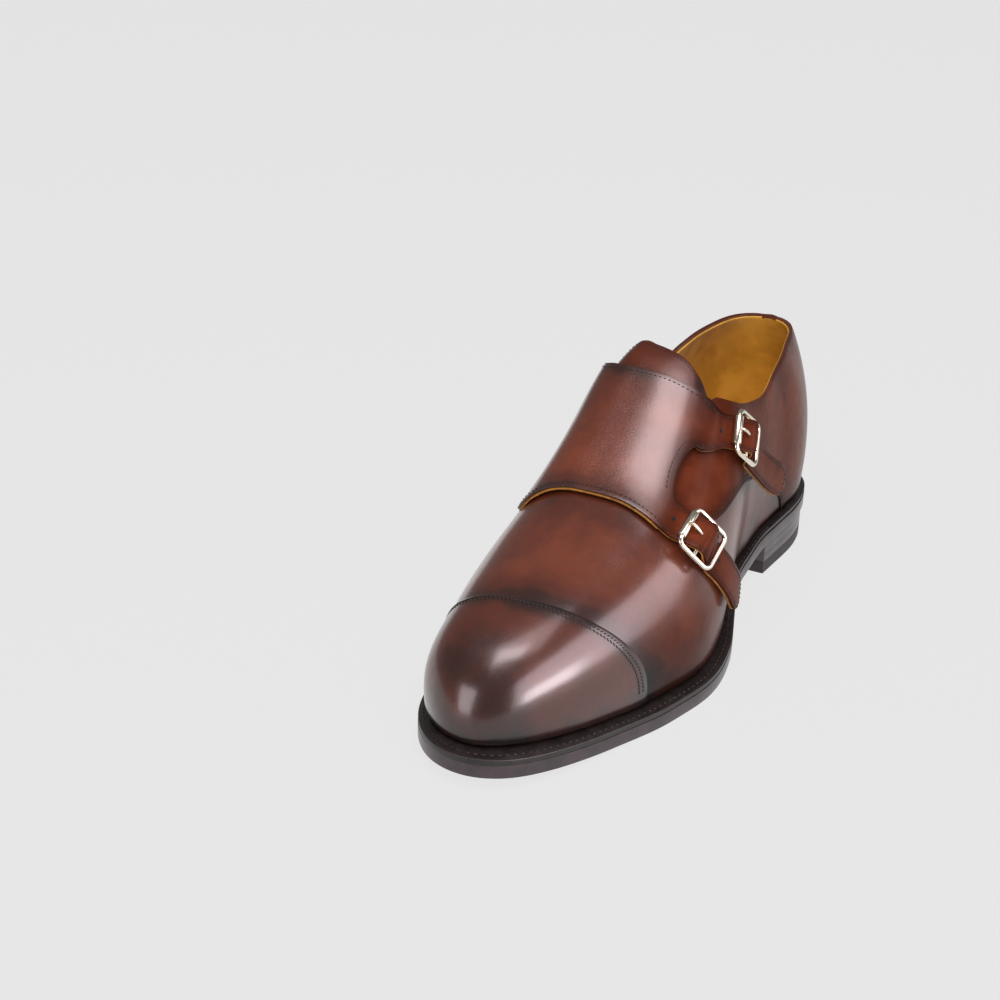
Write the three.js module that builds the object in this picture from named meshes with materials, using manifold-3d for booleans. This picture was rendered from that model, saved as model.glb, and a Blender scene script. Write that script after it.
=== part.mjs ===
// Double monk strap shoe, left foot. Millimetres, +X to the toe, +Y to the outer side, +Z up.
// Origin: middle of the heel's rest face.
import * as THREE from "three";
import { mergeVertices } from "three/addons/utils/BufferGeometryUtils.js";
import Module from "manifold-3d";

const wasm = await Module();
wasm.setup();
const { Manifold, Mesh } = wasm;

// ---------------------------------------------------------------- driving sizes
const OUTSOLE_T = 5.4;
const WELT_T = 2.8;
const GAP = 0.3;
const TOP_PIECE_T = 6;
const HEEL_BREAST = 38;
const HEEL_INSET = 0.97;
const UPPER_WALL = 2.2;
const CAP_T = 1.1;
const CAP_PROUD = 0.2;
const INSOLE_T = 3;
const TONGUE_T = 2.4;
const STRAP_T = 2;
const STRAP_HALF = 7.2;
const BUCKLE_LONG = 18;
const BUCKLE_WIDE = 18.5;
const WIRE_R = 1.1;
const BAR_R = 0.8;
const ROLLER_R = 1.9;
const BUCKLE_LIFT = 6;

// ---------------------------------------------------------------- tables
function table(columns, rows) {
  return rows.map((r) => Object.fromEntries(columns.map((c, i) => [c, r[i]])));
}

// The last, section by section along the foot: feather line either side, ridge, squareness and side bulge.
const LAST = table(
  ["x", "outer", "inner", "ridgeY", "ridgeZ", "square", "bulgeOut", "bulgeIn"],
  [
    [-33, 0, 0, 0, 124, 1, 0, 0],
    [-24, 19.5, -19, -2.5, 122, 1, 3, 4.5],
    [0, 28, -27, -5, 120, 1, 4.5, 7],
    [28, 27, -26.5, -4, 131, 1, 5, 6],
    [54, 25.5, -23.5, -2, 138, 0.9, 9, 6],
    [76, 25.5, -22, -4, 135, 0.7, 11, 8],
    [100, 32.5, -27, -7.5, 127, 0.6, 9, 9.5],
    [127, 40.5, -37.5, -9.5, 103, 0.61, 5.5, 7],
    [154, 43.5, -47, -12, 81, 0.64, 4, 4.5],
    [180, 37.5, -48.5, -14, 70, 0.65, 4, 3.5],
    [212, 26, -43.5, -15, 60, 0.63, 4, 4],
    [242, 11, -36.5, -14.5, 46, 0.63, 3, 3.3],
    [251, 3.8, -28.6, -13, 37.5, 0.67, 2.2, 2.4],
    [258.5, -11, -11, -11, 14, 0.8, 0, 0],
  ],
);

// Outline of the outsole, and the height of its underside above the floor.
const OUTLINE = table(
  ["x", "outer", "inner"],
  [
    [-36, 0, 0],
    [-26, 22.5, -22],
    [0, 30.5, -29.5],
    [30, 29.5, -29],
    [54, 28, -25.5],
    [76, 29, -24.5],
    [100, 37.5, -31.5],
    [127, 46, -42.5],
    [152, 48.5, -52],
    [180, 43, -55],
    [212, 32, -50],
    [242, 19.3, -40.5],
    [257, 9.3, -29.8],
    [266, -9.5, -9.5],
  ],
);
const UNDERSIDE = table(
  ["x", "z"],
  [
    [-36, 16],
    [38, 15],
    [60, 10.5],
    [90, 5],
    [120, 1.4],
    [145, 0],
    [180, 0],
    [215, 1.5],
    [240, 3.5],
    [266, 6],
  ],
);

// How far the back of the quarters leans, by height.
const BACK = table(
  ["z", "dx"],
  [
    [30, 0],
    [45, -1.8],
    [60, -1.2],
    [75, 1],
    [90, 4.5],
    [105, 8.5],
    [150, 20],
  ],
);

// The inner side stands away at the throat, where the empty shoe has opened.
const SPREAD = { x: 106, deg: 116, deep: 4, longX: 25, longDeg: 25 };

// Topline height up to the throat, then the throat's opening in degrees from the feather.
const TOPLINE = table(
  ["x", "outerZ", "innerZ"],
  [
    [-33, 103, 103],
    [0, 100, 102],
    [30, 96.5, 101],
    [55, 95, 101],
    [70, 97.5, 103],
    [86, 102, 107],
    [104, 110, 114],
  ],
);
const THROAT = table(
  ["x", "outerDeg", "innerDeg"],
  [
    [104, 61, 66],
    [112, 66, 68],
    [125, 71, 72],
    [138, 78, 79],
    [146, 84, 84.5],
    [150, 90, 90],
  ],
);

// The toe cap's seam: station by angle round the section.
const CAP_SEAM = table(
  ["deg", "x"],
  [
    [0, 190],
    [20, 193.5],
    [35, 200],
    [50, 207],
    [70, 213.5],
    [90, 217],
    [112, 219],
    [130, 217],
    [155, 210],
    [180, 204],
  ],
);

// The flap over the instep, from its inner root to the cut-out between the straps.
const FLAP = table(
  ["deg", "rearX", "frontX", "lift"],
  [
    [128, 105, 161, 0.5],
    [118, 109, 160, 1.2],
    [108, 111, 159, 1.9],
    [98, 111.5, 158, 2.2],
    [88, 111.5, 157.5, 2.2],
    [78, 111.5, 158, 2.2],
    [70, 111, 158.5, 2],
    [64, 109.5, 159, 1.8],
  ],
);
const NOSE_FROM = 126;
const NOSE_TO = 146;
const NOSE_DEEP = 4;

// Centre line of each strap over the outer side.
const UPPER_STRAP = table(
  ["x", "deg"],
  [
    [117.5, 64],
    [110.5, 54],
    [103, 45.5],
    [92, 35.5],
    [75, 26],
    [54, 17.5],
  ],
);
const LOWER_STRAP = table(
  ["x", "deg"],
  [
    [152.5, 64],
    [151, 57],
    [149, 48],
    [144.5, 38],
    [134, 24],
    [121, 11],
  ],
);
const UPPER_BUCKLE_DEG = 45.5;
const LOWER_BUCKLE_DEG = 48;

// ---------------------------------------------------------------- curves
function spans(rows, key, at) {
  const u = rows.map(at);
  const v = rows.map((r) => r[key]);
  const n = u.length;
  const h = [];
  const d = [];
  for (let i = 0; i < n - 1; i++) {
    h.push(u[i + 1] - u[i]);
    d.push((v[i + 1] - v[i]) / h[i]);
  }
  return { u, v, n, h, d };
}
function hermite(c, m, q) {
  const x = Math.min(Math.max(q, c.u[0]), c.u[c.n - 1]);
  let i = 0;
  while (i < c.n - 2 && x > c.u[i + 1]) i++;
  const s = (x - c.u[i]) / c.h[i];
  const a = 2 * s ** 3 - 3 * s ** 2 + 1;
  const b = s ** 3 - 2 * s ** 2 + s;
  const e = -2 * s ** 3 + 3 * s ** 2;
  const f = s ** 3 - s ** 2;
  return a * c.v[i] + b * c.h[i] * m[i] + e * c.v[i + 1] + f * c.h[i] * m[i + 1];
}
// Smooth curve through a table's rows.
function smooth(rows, key, at) {
  const c = spans(rows, key, at);
  const m = new Array(c.n);
  for (let i = 1; i < c.n - 1; i++) {
    m[i] = (c.h[i - 1] * c.d[i] + c.h[i] * c.d[i - 1]) / (c.h[i - 1] + c.h[i]);
  }
  m[0] = 1.5 * c.d[0] - 0.5 * m[1];
  m[c.n - 1] = 1.5 * c.d[c.n - 2] - 0.5 * m[c.n - 2];
  return (q) => hermite(c, m, q);
}
// Curve through a table's rows that never overshoots, so flats stay flat.
function steady(rows, key, at) {
  const c = spans(rows, key, at);
  const m = new Array(c.n).fill(0);
  for (let i = 1; i < c.n - 1; i++) {
    const p = c.d[i - 1] * c.d[i];
    m[i] = p > 0 ? (2 * p) / (c.d[i - 1] + c.d[i]) : 0;
  }
  m[0] = c.d[0];
  m[c.n - 1] = c.d[c.n - 2];
  return (q) => hermite(c, m, q);
}

const X0 = LAST[0].x;
const X1 = LAST[LAST.length - 1].x;
function turn(x, from = X0, to = X1) {
  return Math.acos(Math.min(1, Math.max(-1, 1 - (2 * (x - from)) / (to - from))));
}
const byTurn = (r) => turn(r.x);
const S = Object.fromEntries(
  ["outer", "inner", "ridgeY", "ridgeZ", "square", "bulgeOut", "bulgeIn"].map((k) => [
    k,
    smooth(LAST, k, byTurn),
  ]),
);
const SOLE0 = OUTLINE[0].x;
const SOLE1 = OUTLINE[OUTLINE.length - 1].x;
const bySoleTurn = (r) => turn(r.x, SOLE0, SOLE1);
const soleOuter = smooth(OUTLINE, "outer", bySoleTurn);
const soleInner = smooth(OUTLINE, "inner", bySoleTurn);
const under = steady(UNDERSIDE, "z", (r) => r.x);
const backLean = steady(BACK, "dx", (r) => r.z);
const capSeam = smooth(CAP_SEAM, "x", (r) => r.deg);
const FEATHER_UP = OUTSOLE_T + WELT_T + 2 * GAP;
const feather = (x) => under(x) + FEATHER_UP;
const RAD = Math.PI / 180;

// ---------------------------------------------------------------- the last's surface
// t runs from the back seam (0) to the toe tip (pi).
// deg runs from the outer feather (0) over the ridge to the inner feather (180).
function surface(t, deg) {
  const x = X0 + ((X1 - X0) * (1 - Math.cos(t))) / 2;
  const c = Math.cos(deg * RAD);
  const s = Math.abs(Math.sin(deg * RAD));
  const side = c >= 0 ? S.outer(t) : S.inner(t);
  const bulge = c >= 0 ? S.bulgeOut(t) : -S.bulgeIn(t);
  const k = Math.abs(c);
  const ridgeY = S.ridgeY(t);
  const opened = ((x - SPREAD.x) / SPREAD.longX) ** 2 + ((deg - SPREAD.deg) / SPREAD.longDeg) ** 2;
  const away = SPREAD.deep * Math.exp(-opened);
  const y = ridgeY + (side - ridgeY) * k ** S.square(t) + bulge * 2 * s * k * k - away;
  const zf = feather(x);
  const ridgeZ = Math.max(S.ridgeZ(t), zf);
  const z = zf + (ridgeZ - zf) * s;
  const fade = Math.min(1, Math.max(0, 1 - (x - X0) / 90)) ** 2;
  return new THREE.Vector3(x + backLean(z) * fade, y, z);
}
function normal(t, deg) {
  if (t > Math.PI - 1e-6) return new THREE.Vector3(1, 0, 0);
  const e = 1e-3;
  const back = t < 2 * e;
  const off = Math.min(Math.max(deg, 0.3), 179.7);
  const q = back && off > 90 ? 180 - off : off;
  const u = Math.min(Math.max(t, 2 * e), Math.PI - 2 * e);
  const dt = surface(u + e, q).sub(surface(u - e, q));
  const da = surface(u, q + 0.1).sub(surface(u, q - 0.1));
  const n = da.cross(dt);
  if (back) n.y = 0;
  return n.normalize();
}
const skin = (x, deg, lift) => {
  const t = turn(x);
  return surface(t, deg).addScaledVector(normal(t, deg), lift);
};

// ---------------------------------------------------------------- solids
// A leather piece: the same patch twice, at its top and at its underside, closed along every free edge.
function thick(top, low, quads) {
  const key = (p) => [p.x, p.y, p.z].map((v) => Math.round(v * 1e4)).join();
  const ids = new Map();
  const same = top.map((p, i) => {
    const k = key(p) + "/" + key(low[i]);
    if (!ids.has(k)) ids.set(k, i);
    return ids.get(k);
  });
  const tris = [];
  for (const q of quads) {
    const [a, b, c, d] = q.map((i) => same[i]);
    if (a !== b && b !== c && a !== c) tris.push([a, b, c]);
    if (a !== c && c !== d && a !== d) tris.push([a, c, d]);
  }
  const edges = new Map();
  for (const [a, b, c] of tris) {
    for (const [i, j] of [
      [a, b],
      [b, c],
      [c, a],
    ]) {
      edges.set(i + "," + j, [i, j]);
    }
  }
  const soup = [];
  for (const [a, b, c] of tris) {
    soup.push(top[a], top[b], top[c]);
    soup.push(low[c], low[b], low[a]);
  }
  for (const [i, j] of edges.values()) {
    if (edges.has(j + "," + i)) continue;
    soup.push(top[j], top[i], low[i]);
    soup.push(top[j], low[i], low[j]);
  }
  return solid(soup);
}
// A closed body from a soup of triangles.
function solid(soup) {
  const ids = new Map();
  const verts = [];
  const tris = [];
  const id = (p) => {
    const k = [p.x, p.y, p.z].map((v) => Math.round(v * 2e3)).join();
    if (!ids.has(k)) {
      ids.set(k, verts.length / 3);
      verts.push(p.x, p.y, p.z);
    }
    return ids.get(k);
  };
  for (let i = 0; i < soup.length; i += 3) {
    const [a, b, c] = [id(soup[i]), id(soup[i + 1]), id(soup[i + 2])];
    if (a !== b && b !== c && a !== c) tris.push(a, b, c);
  }
  const build = (list) =>
    new Manifold(
      new Mesh({
        numProp: 3,
        vertProperties: new Float32Array(verts),
        triVerts: new Uint32Array(list),
      }),
    );
  const made = build(tris);
  if (made.volume() > 0) return made;
  return build(tris.map((v, i) => tris[i - (i % 3) + [0, 2, 1][i % 3]]));
}
// Quads of a rows-by-columns grid; closed joins the last row to the first.
function gridQuads(rows, cols, closed = false) {
  const quads = [];
  for (let i = 0; i < rows - (closed ? 0 : 1); i++) {
    const n = (i + 1) % rows;
    for (let j = 0; j < cols - 1; j++) {
      quads.push([i * cols + j, i * cols + j + 1, n * cols + j + 1, n * cols + j]);
    }
  }
  return quads;
}
// A flat-sided plate between two outlines.
function plate(stations, outer, inner, low, high) {
  const top = [];
  const bottom = [];
  for (const x of stations) {
    for (const y of [outer(x), (outer(x) + inner(x)) / 2, inner(x)]) {
      top.push(new THREE.Vector3(x, y, high(x)));
      bottom.push(new THREE.Vector3(x, y, low(x)));
    }
  }
  return thick(top, bottom, gridQuads(stations.length, 3));
}
function turned(from, to, n) {
  const share = (i) => (1 - Math.cos((Math.PI * i) / n)) / 2;
  return Array.from({ length: n + 1 }, (_, i) => from + (to - from) * share(i));
}

// ---------------------------------------------------------------- sole, welt, heel, insole
const soleStations = [...new Set([...turned(SOLE0, SOLE1, 44), 145, 180, HEEL_BREAST])].sort((a, b) => a - b);
const soleY = (curve) => (x) => curve(turn(x, SOLE0, SOLE1));
const outsole = plate(soleStations, soleY(soleOuter), soleY(soleInner), under, (x) => under(x) + OUTSOLE_T);

// Points round the feather line, moved inwards level.
function featherLoop(stations, inset) {
  const ring = [
    ...stations.map((x) => surface(turn(x), 0)),
    ...stations.slice(1, -1).reverse().map((x) => surface(turn(x), 180)),
  ];
  return ring.map((p, i) => {
    const a = ring[(i + ring.length - 1) % ring.length];
    const b = ring[(i + 1) % ring.length];
    const n = new THREE.Vector3(b.y - a.y, a.x - b.x, 0).normalize();
    return p.clone().addScaledVector(n, inset);
  });
}
function weltBody() {
  const n = 44;
  const outerX = turned(SOLE0, SOLE1, n);
  const outerRing = [
    ...outerX.map((x) => [x, soleY(soleOuter)(x)]),
    ...outerX.slice(1, -1).reverse().map((x) => [x, soleY(soleInner)(x)]),
  ];
  const innerRing = featherLoop(turned(X0, X1, n), 7);
  const top = [];
  const bottom = [];
  outerRing.forEach(([x, y], i) => {
    const q = innerRing[i];
    for (const [px, py] of [
      [x, y],
      [q.x, q.y],
    ]) {
      const z = under(px) + OUTSOLE_T + GAP;
      top.push(new THREE.Vector3(px, py, z + WELT_T));
      bottom.push(new THREE.Vector3(px, py, z));
    }
  });
  return thick(top, bottom, gridQuads(outerRing.length, 2, true));
}
function insoleBody() {
  const n = 36;
  const ring = featherLoop(turned(X0, X1, n), 3.4);
  const top = [];
  const bottom = [];
  for (let i = 0; i <= n; i++) {
    const a = ring[i];
    const b = ring[i === 0 || i === n ? i : 2 * n - i];
    const m = a.clone().add(b).multiplyScalar(0.5);
    for (const p of [a, m, b]) {
      bottom.push(new THREE.Vector3(p.x, p.y, feather(p.x)));
      top.push(new THREE.Vector3(p.x, p.y, feather(p.x) + INSOLE_T));
    }
  }
  return thick(top, bottom, gridQuads(n + 1, 3));
}
const heelStations = turned(SOLE0, SOLE1, 44).filter((x) => x < HEEL_BREAST - 2);
const heelX = [...heelStations.map((x) => (x < 0 ? x * HEEL_INSET : x)), HEEL_BREAST];
const heelY = (curve) => (x) => curve(turn(x < 0 ? x / HEEL_INSET : x, SOLE0, SOLE1)) * HEEL_INSET;
const stackFoot = () => TOP_PIECE_T + GAP;
const stackTop = (x) => under(x) - GAP;
const heelStack = plate(heelX, heelY(soleOuter), heelY(soleInner), stackFoot, stackTop);
const topPiece = plate(heelX, heelY(soleOuter), heelY(soleInner), () => 0, () => TOP_PIECE_T);

// ---------------------------------------------------------------- upper, toe cap, tongue
function topAngle(x, inner) {
  if (x >= THROAT[THROAT.length - 1].x) return 90;
  if (x >= THROAT[0].x) return steady(THROAT, inner ? "innerDeg" : "outerDeg", (r) => r.x)(x);
  const z = steady(TOPLINE, inner ? "innerZ" : "outerZ", (r) => r.x)(x);
  const zf = feather(x);
  return Math.asin((z - zf) / (S.ridgeZ(turn(x)) - zf)) / RAD;
}
const CAP_AT = 210;
function bent(s, deg) {
  const from = 152;
  const u = Math.min(1, Math.max(0, (s - from) / (CAP_AT - from)));
  const w = s < CAP_AT ? u * u * (3 - 2 * u) : (X1 - s) / (X1 - CAP_AT);
  return s + (capSeam(deg) - CAP_AT) * w;
}
const TOE_STATIONS = [217, 225, 232, 238.5, 244, 249, 253, 255.6, 257.4, 258.3, 258.5];
const UPPER_STATIONS = [
  -33, -32.6, -31.3, -28.8, -25, -19, -11, -2, 9, 21, 33, 45, 56, 66, 75, 83, 90, 97, 104, 110, 117,
  124, 131, 138, 143, 147, 150, 156, 164, 172, 180, 188, 196, 203, CAP_AT,
];
function upperBody() {
  const cols = 11;
  const stations = [...UPPER_STATIONS, CAP_AT, ...TOE_STATIONS];
  const top = [];
  const low = [];
  const row = (k, inner) => {
    const recess = k >= UPPER_STATIONS.length ? CAP_T + GAP - CAP_PROUD : 0;
    for (let j = 0; j < cols; j++) {
      const s = stations[k];
      const share = j / (cols - 1);
      const half = share * topAngle(s, inner);
      const deg = inner ? 180 - half : half;
      const x = Math.min(bent(s, deg), X1);
      top.push(skin(x, deg, -recess));
      low.push(skin(x, deg, -UPPER_WALL - recess * 0.5));
    }
  };
  for (let k = 0; k < stations.length; k++) row(k, false);
  for (let k = stations.length - 1; k >= 0; k--) row(k, true);
  return thick(top, low, gridQuads(2 * stations.length, cols));
}
function capBody() {
  const cols = 9;
  const stations = [CAP_AT + GAP + 0.1, ...TOE_STATIONS];
  const top = [];
  const low = [];
  const row = (s, inner) => {
    for (let j = 0; j < cols; j++) {
      const half = (90 * j) / (cols - 1);
      const deg = inner ? 180 - half : half;
      const x = Math.min(bent(s, deg), X1);
      top.push(skin(x, deg, CAP_PROUD));
      low.push(skin(x, deg, CAP_PROUD - CAP_T));
    }
  };
  for (const s of stations) row(s, false);
  for (const s of [...stations].reverse()) row(s, true);
  return thick(top, low, gridQuads(2 * stations.length, cols));
}
// The tongue lies inside the quarters and stands above the flap.
const TONGUE = table(
  ["deg", "topX", "frontX"],
  [
    [60, 108.5, 152],
    [66, 105, 155],
    [76, 102, 157],
    [88, 99.5, 158],
    [98, 96.5, 158],
    [108, 95, 157],
    [116, 98, 155],
    [124, 106, 152],
  ],
);
function tongueBody() {
  const rows = 12;
  const cols = 12;
  const topX = smooth(TONGUE, "topX", (r) => r.deg);
  const frontX = smooth(TONGUE, "frontX", (r) => r.deg);
  const top = [];
  const low = [];
  for (let i = 0; i <= rows; i++) {
    for (let j = 0; j <= cols; j++) {
      const deg = TONGUE[0].deg + ((TONGUE[TONGUE.length - 1].deg - TONGUE[0].deg) * j) / cols;
      const x = topX(deg) + ((frontX(deg) - topX(deg)) * i) / rows;
      const up = -UPPER_WALL - GAP - 0.4;
      top.push(skin(x, deg, up));
      low.push(skin(x, deg, up - TONGUE_T));
    }
  }
  return thick(top, low, gridQuads(rows + 1, cols + 1));
}

// ---------------------------------------------------------------- straps and buckles
// A strap's centre line on the last, measured along its length.
function strapLine(rows) {
  const at = (r, i) => rows.indexOf(r);
  const fx = smooth(rows, "x", at);
  const fd = smooth(rows, "deg", at);
  const n = 120;
  const list = [];
  let run = 0;
  for (let i = 0; i <= n; i++) {
    const q = ((rows.length - 1) * i) / n;
    const p = skin(fx(q), fd(q), 0);
    if (i) run += p.distanceTo(list[i - 1].p);
    list.push({ run, p, x: fx(q), deg: fd(q) });
  }
  const length = run;
  const frame = (s) => {
    const g = Math.min(Math.max(s, 0), length);
    let i = 0;
    while (i < n - 1 && g > list[i + 1].run) i++;
    const f = (g - list[i].run) / (list[i + 1].run - list[i].run);
    const p = list[i].p.clone().lerp(list[i + 1].p, f);
    const lo = list[Math.max(i - 3, 0)];
    const hi = list[Math.min(i + 4, n)];
    const along = hi.p.clone().sub(lo.p).normalize();
    const up = normal(turn(list[i].x), list[i].deg);
    up.addScaledVector(along, -up.dot(along)).normalize();
    const across = up.clone().cross(along).normalize();
    return { p, along, up, across };
  };
  const find = (deg) => list.find((r) => r.deg <= deg).run;
  return { length, frame, find };
}
const upperLine = strapLine(UPPER_STRAP);
const lowerLine = strapLine(LOWER_STRAP);
const upperAt = upperLine.find(UPPER_BUCKLE_DEG);
const lowerAt = lowerLine.find(LOWER_BUCKLE_DEG);

// Height of the strap's underside: under the roller, over the centre bar, under the far bar,
// then down to the quarter.
const ARCH = table(
  ["s", "upper", "lower"],
  [
    [-16, 1.8, 1.8],
    [-9, 1.7, 1.7],
    [-4.5, 4.6, 4.6],
    [0, BUCKLE_LIFT + 2.3, BUCKLE_LIFT + 2.3],
    [4.5, 5.6, 5.6],
    [9, 1.65, 1.65],
    [15, 1.8, 1.2],
    [24, 3.2, 1.6],
    [38, 5.8, 2.6],
    [60, 8.5, 4],
  ],
);
const archOf = Object.fromEntries(["upper", "lower"].map((k) => [k, smooth(ARCH, k, (r) => r.s)]));
const TAIL = table(
  ["back", "rear", "front"],
  [
    [14, 1, 1],
    [8, 0.93, 1],
    [4, 0.6, 0.93],
    [1.5, 0.2, 0.72],
    [0, -0.05, 0.4],
  ],
);
function flapBody() {
  const fracs = [0, 0.5, 1];
  const noseFracs = [0.2, 0.4, 0.6, 0.8];
  const deg = FLAP.map((r) => r.deg);
  const rear = smooth(FLAP, "rearX", (r) => -r.deg);
  const front = smooth(FLAP, "frontX", (r) => -r.deg);
  const lift = smooth(FLAP, "lift", (r) => -r.deg);
  const top = [];
  const low = [];
  const quads = [];
  const put = (hi, lo) => {
    top.push(hi);
    low.push(lo);
    return top.length - 1;
  };
  const edge = deg[deg.length - 1];
  const stations = (d) => {
    const share = (deg[0] - d) / (deg[0] - edge);
    const a = rear(-d);
    const b = front(-d);
    const noseA = a + (b - a) * 0.36 + (NOSE_FROM - (a + (b - a) * 0.36)) * share;
    const noseB = a + (b - a) * 0.72 + (NOSE_TO - (a + (b - a) * 0.72)) * share;
    return [
      ...fracs.map((f) => a + (noseA - a) * f),
      ...noseFracs.map((f) => noseA + (noseB - noseA) * f),
      ...fracs.map((f) => noseB + (b - noseB) * f),
    ];
  };
  const dip = [0, 0, 0, 0.65, 1, 1, 0.65, 0, 0, 0];
  const rowsDeg = [128, 122, 116, 110, 104, 98, 92, 86, 80, 74, 68.5, 64];
  const grid = rowsDeg.map((d, i) =>
    stations(d).map((x, j) => {
      const share = Math.max(0, 1 - (d - edge) / 12);
      const q = d + dip[j] * NOSE_DEEP * share;
      const l = lift(-d);
      return put(skin(x, q, l + STRAP_T), skin(x, q, l));
    }),
  );
  const join = (a, b) => {
    for (let j = 0; j < a.length - 1; j++) quads.push([a[j], a[j + 1], b[j + 1], b[j]]);
  };
  for (let i = 0; i < grid.length - 1; i++) join(grid[i], grid[i + 1]);
  const last = grid[grid.length - 1];
  const strap = (first, line, at, arch) => {
    let before = first;
    const steps = [-13, -9, -6.7, -4.5, -2.2, 0, 2.2, 4.5, 6.7, 9, 12, 15, 20, 26, 32, 38, 44, 50];
    const end = line.length;
    const stops = steps.map((s) => at + s).filter((s) => s > 3 && s < end - 15);
    const tail = TAIL.map((r) => end - r.back);
    for (const s of [...stops, ...tail]) {
      const f = line.frame(s);
      const k = tail.indexOf(s);
      const shape = k < 0 ? { rear: 1, front: 1 } : TAIL[k];
      const l = arch(s - at);
      const points = [-1, 0, 1].map((side) => {
        const w = side < 0 ? -shape.rear : side > 0 ? shape.front : (shape.front - shape.rear) / 2;
        const q = f.p.clone().addScaledVector(f.across, -w * STRAP_HALF);
        return put(q.clone().addScaledVector(f.up, l + STRAP_T), q.clone().addScaledVector(f.up, l));
      });
      join(before, points);
      before = points;
    }
  };
  strap(last.slice(0, 3), upperLine, upperAt, archOf.upper);
  strap(last.slice(7, 10), lowerLine, lowerAt, archOf.lower);
  return thick(top, low, quads);
}

// The place of a buckle: +X along the strap to its tail, +Z away from the shoe.
function seat(line, at) {
  const f = line.frame(at);
  const m = new THREE.Matrix4().makeBasis(f.along, f.across, f.up);
  return m.setPosition(f.p);
}
// A closed three.js geometry as a solid for joining and cutting.
function bodyOf(geometry) {
  const g = geometry.index ? geometry.toNonIndexed() : geometry.clone();
  for (const name of Object.keys(g.attributes)) if (name !== "position") g.deleteAttribute(name);
  const m = mergeVertices(g, 1e-4);
  return new Manifold(
    new Mesh({
      numProp: 3,
      vertProperties: m.attributes.position.array,
      triVerts: new Uint32Array(m.index.array),
    }),
  );
}
const rod = (r, length, sides = 10) => bodyOf(new THREE.CylinderGeometry(r, r, length, sides));
const block = (x, y, z, cx, cz) => bodyOf(new THREE.BoxGeometry(x, y, z).translate(cx, 0, cz));
// A wire bent round a rounded rectangle.
function wireFrame() {
  const path = [];
  const corner = 3;
  for (let q = 0; q < 4; q++) {
    const sx = [1, -1, -1, 1][q];
    const sy = [1, 1, -1, -1][q];
    for (let i = 0; i <= 4; i++) {
      const a = (q + i / 4) * (Math.PI / 2);
      path.push([
        sx * (BUCKLE_LONG / 2 - corner) + corner * Math.cos(a),
        sy * (BUCKLE_WIDE / 2 - corner) + corner * Math.sin(a),
        a,
      ]);
    }
  }
  const sides = 8;
  const soup = [];
  const at = (i, j) => {
    const [x, y, a] = path[i % path.length];
    const b = (2 * Math.PI * (j + 0.5)) / sides;
    const out = WIRE_R * Math.cos(b);
    const z = BUCKLE_LIFT + WIRE_R * Math.sin(b);
    return new THREE.Vector3(x + out * Math.cos(a), y + out * Math.sin(a), z);
  };
  for (let i = 0; i < path.length; i++) {
    for (let j = 0; j < sides; j++) {
      soup.push(at(i, j), at(i + 1, j), at(i + 1, j + 1));
      soup.push(at(i, j), at(i + 1, j + 1), at(i, j + 1));
    }
  }
  return solid(soup);
}
const buckleFrame = wireFrame().add(rod(BAR_R, BUCKLE_WIDE).translate([0, 0, BUCKLE_LIFT]));
const buckleRoller = rod(ROLLER_R, 11.5, 14)
  .subtract(rod(WIRE_R + GAP, 14, 14))
  .translate([-BUCKLE_LONG / 2, 0, BUCKLE_LIFT]);
// The prong hangs on the centre bar, comes up through the strap's hole and rests on the roller.
const PRONG_R = 0.75;
const prongEnd = BUCKLE_LIFT + ROLLER_R + GAP + PRONG_R;
function prongBody() {
  const ring = rod(1.8, 2.4, 12).translate([0, 0, BUCKLE_LIFT]);
  const rise = prongEnd - BUCKLE_LIFT - 0.3;
  const reach = BUCKLE_LONG / 2 + 0.4;
  const long = Math.hypot(rise, reach);
  const blade = new THREE.CylinderGeometry(PRONG_R, PRONG_R, long, 8)
    .translate(0, long / 2, 0)
    .rotateZ(Math.PI / 2)
    .rotateY(Math.atan2(rise, reach))
    .translate(0, 0, BUCKLE_LIFT + 0.3);
  return ring.add(bodyOf(blade)).subtract(rod(BAR_R + GAP, 6, 12).translate([0, 0, BUCKLE_LIFT]));
}
const prong = prongBody();
const prongRoom = block(7.4, 2.6, 9, -5.2, BUCKLE_LIFT + 1.2);
// The leather keeper that holds the centre bar to the quarter, under the strap.
const keeper = block(9.5, 11, 0.8, -2.2, 0.9).add(block(2.4, 11, 3.2, 1.35, 2.25));

let flap = flapBody();
for (const [line, at] of [
  [upperLine, upperAt],
  [lowerLine, lowerAt],
]) {
  flap = flap.subtract(prongRoom.transform(seat(line, at).elements));
}

// ---------------------------------------------------------------- the assembly
const LEATHER = { color: 0x4a2016, roughness: 0.3, metalness: 0 };
const DARK = { color: 0x1a1110, roughness: 0.4, metalness: 0 };
const RUBBER = { color: 0x151313, roughness: 0.8, metalness: 0 };
const TAN = { color: 0xa87a3c, roughness: 0.8, metalness: 0 };
const NICKEL = { color: 0xcfc8b8, roughness: 0.2, metalness: 1 };

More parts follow.
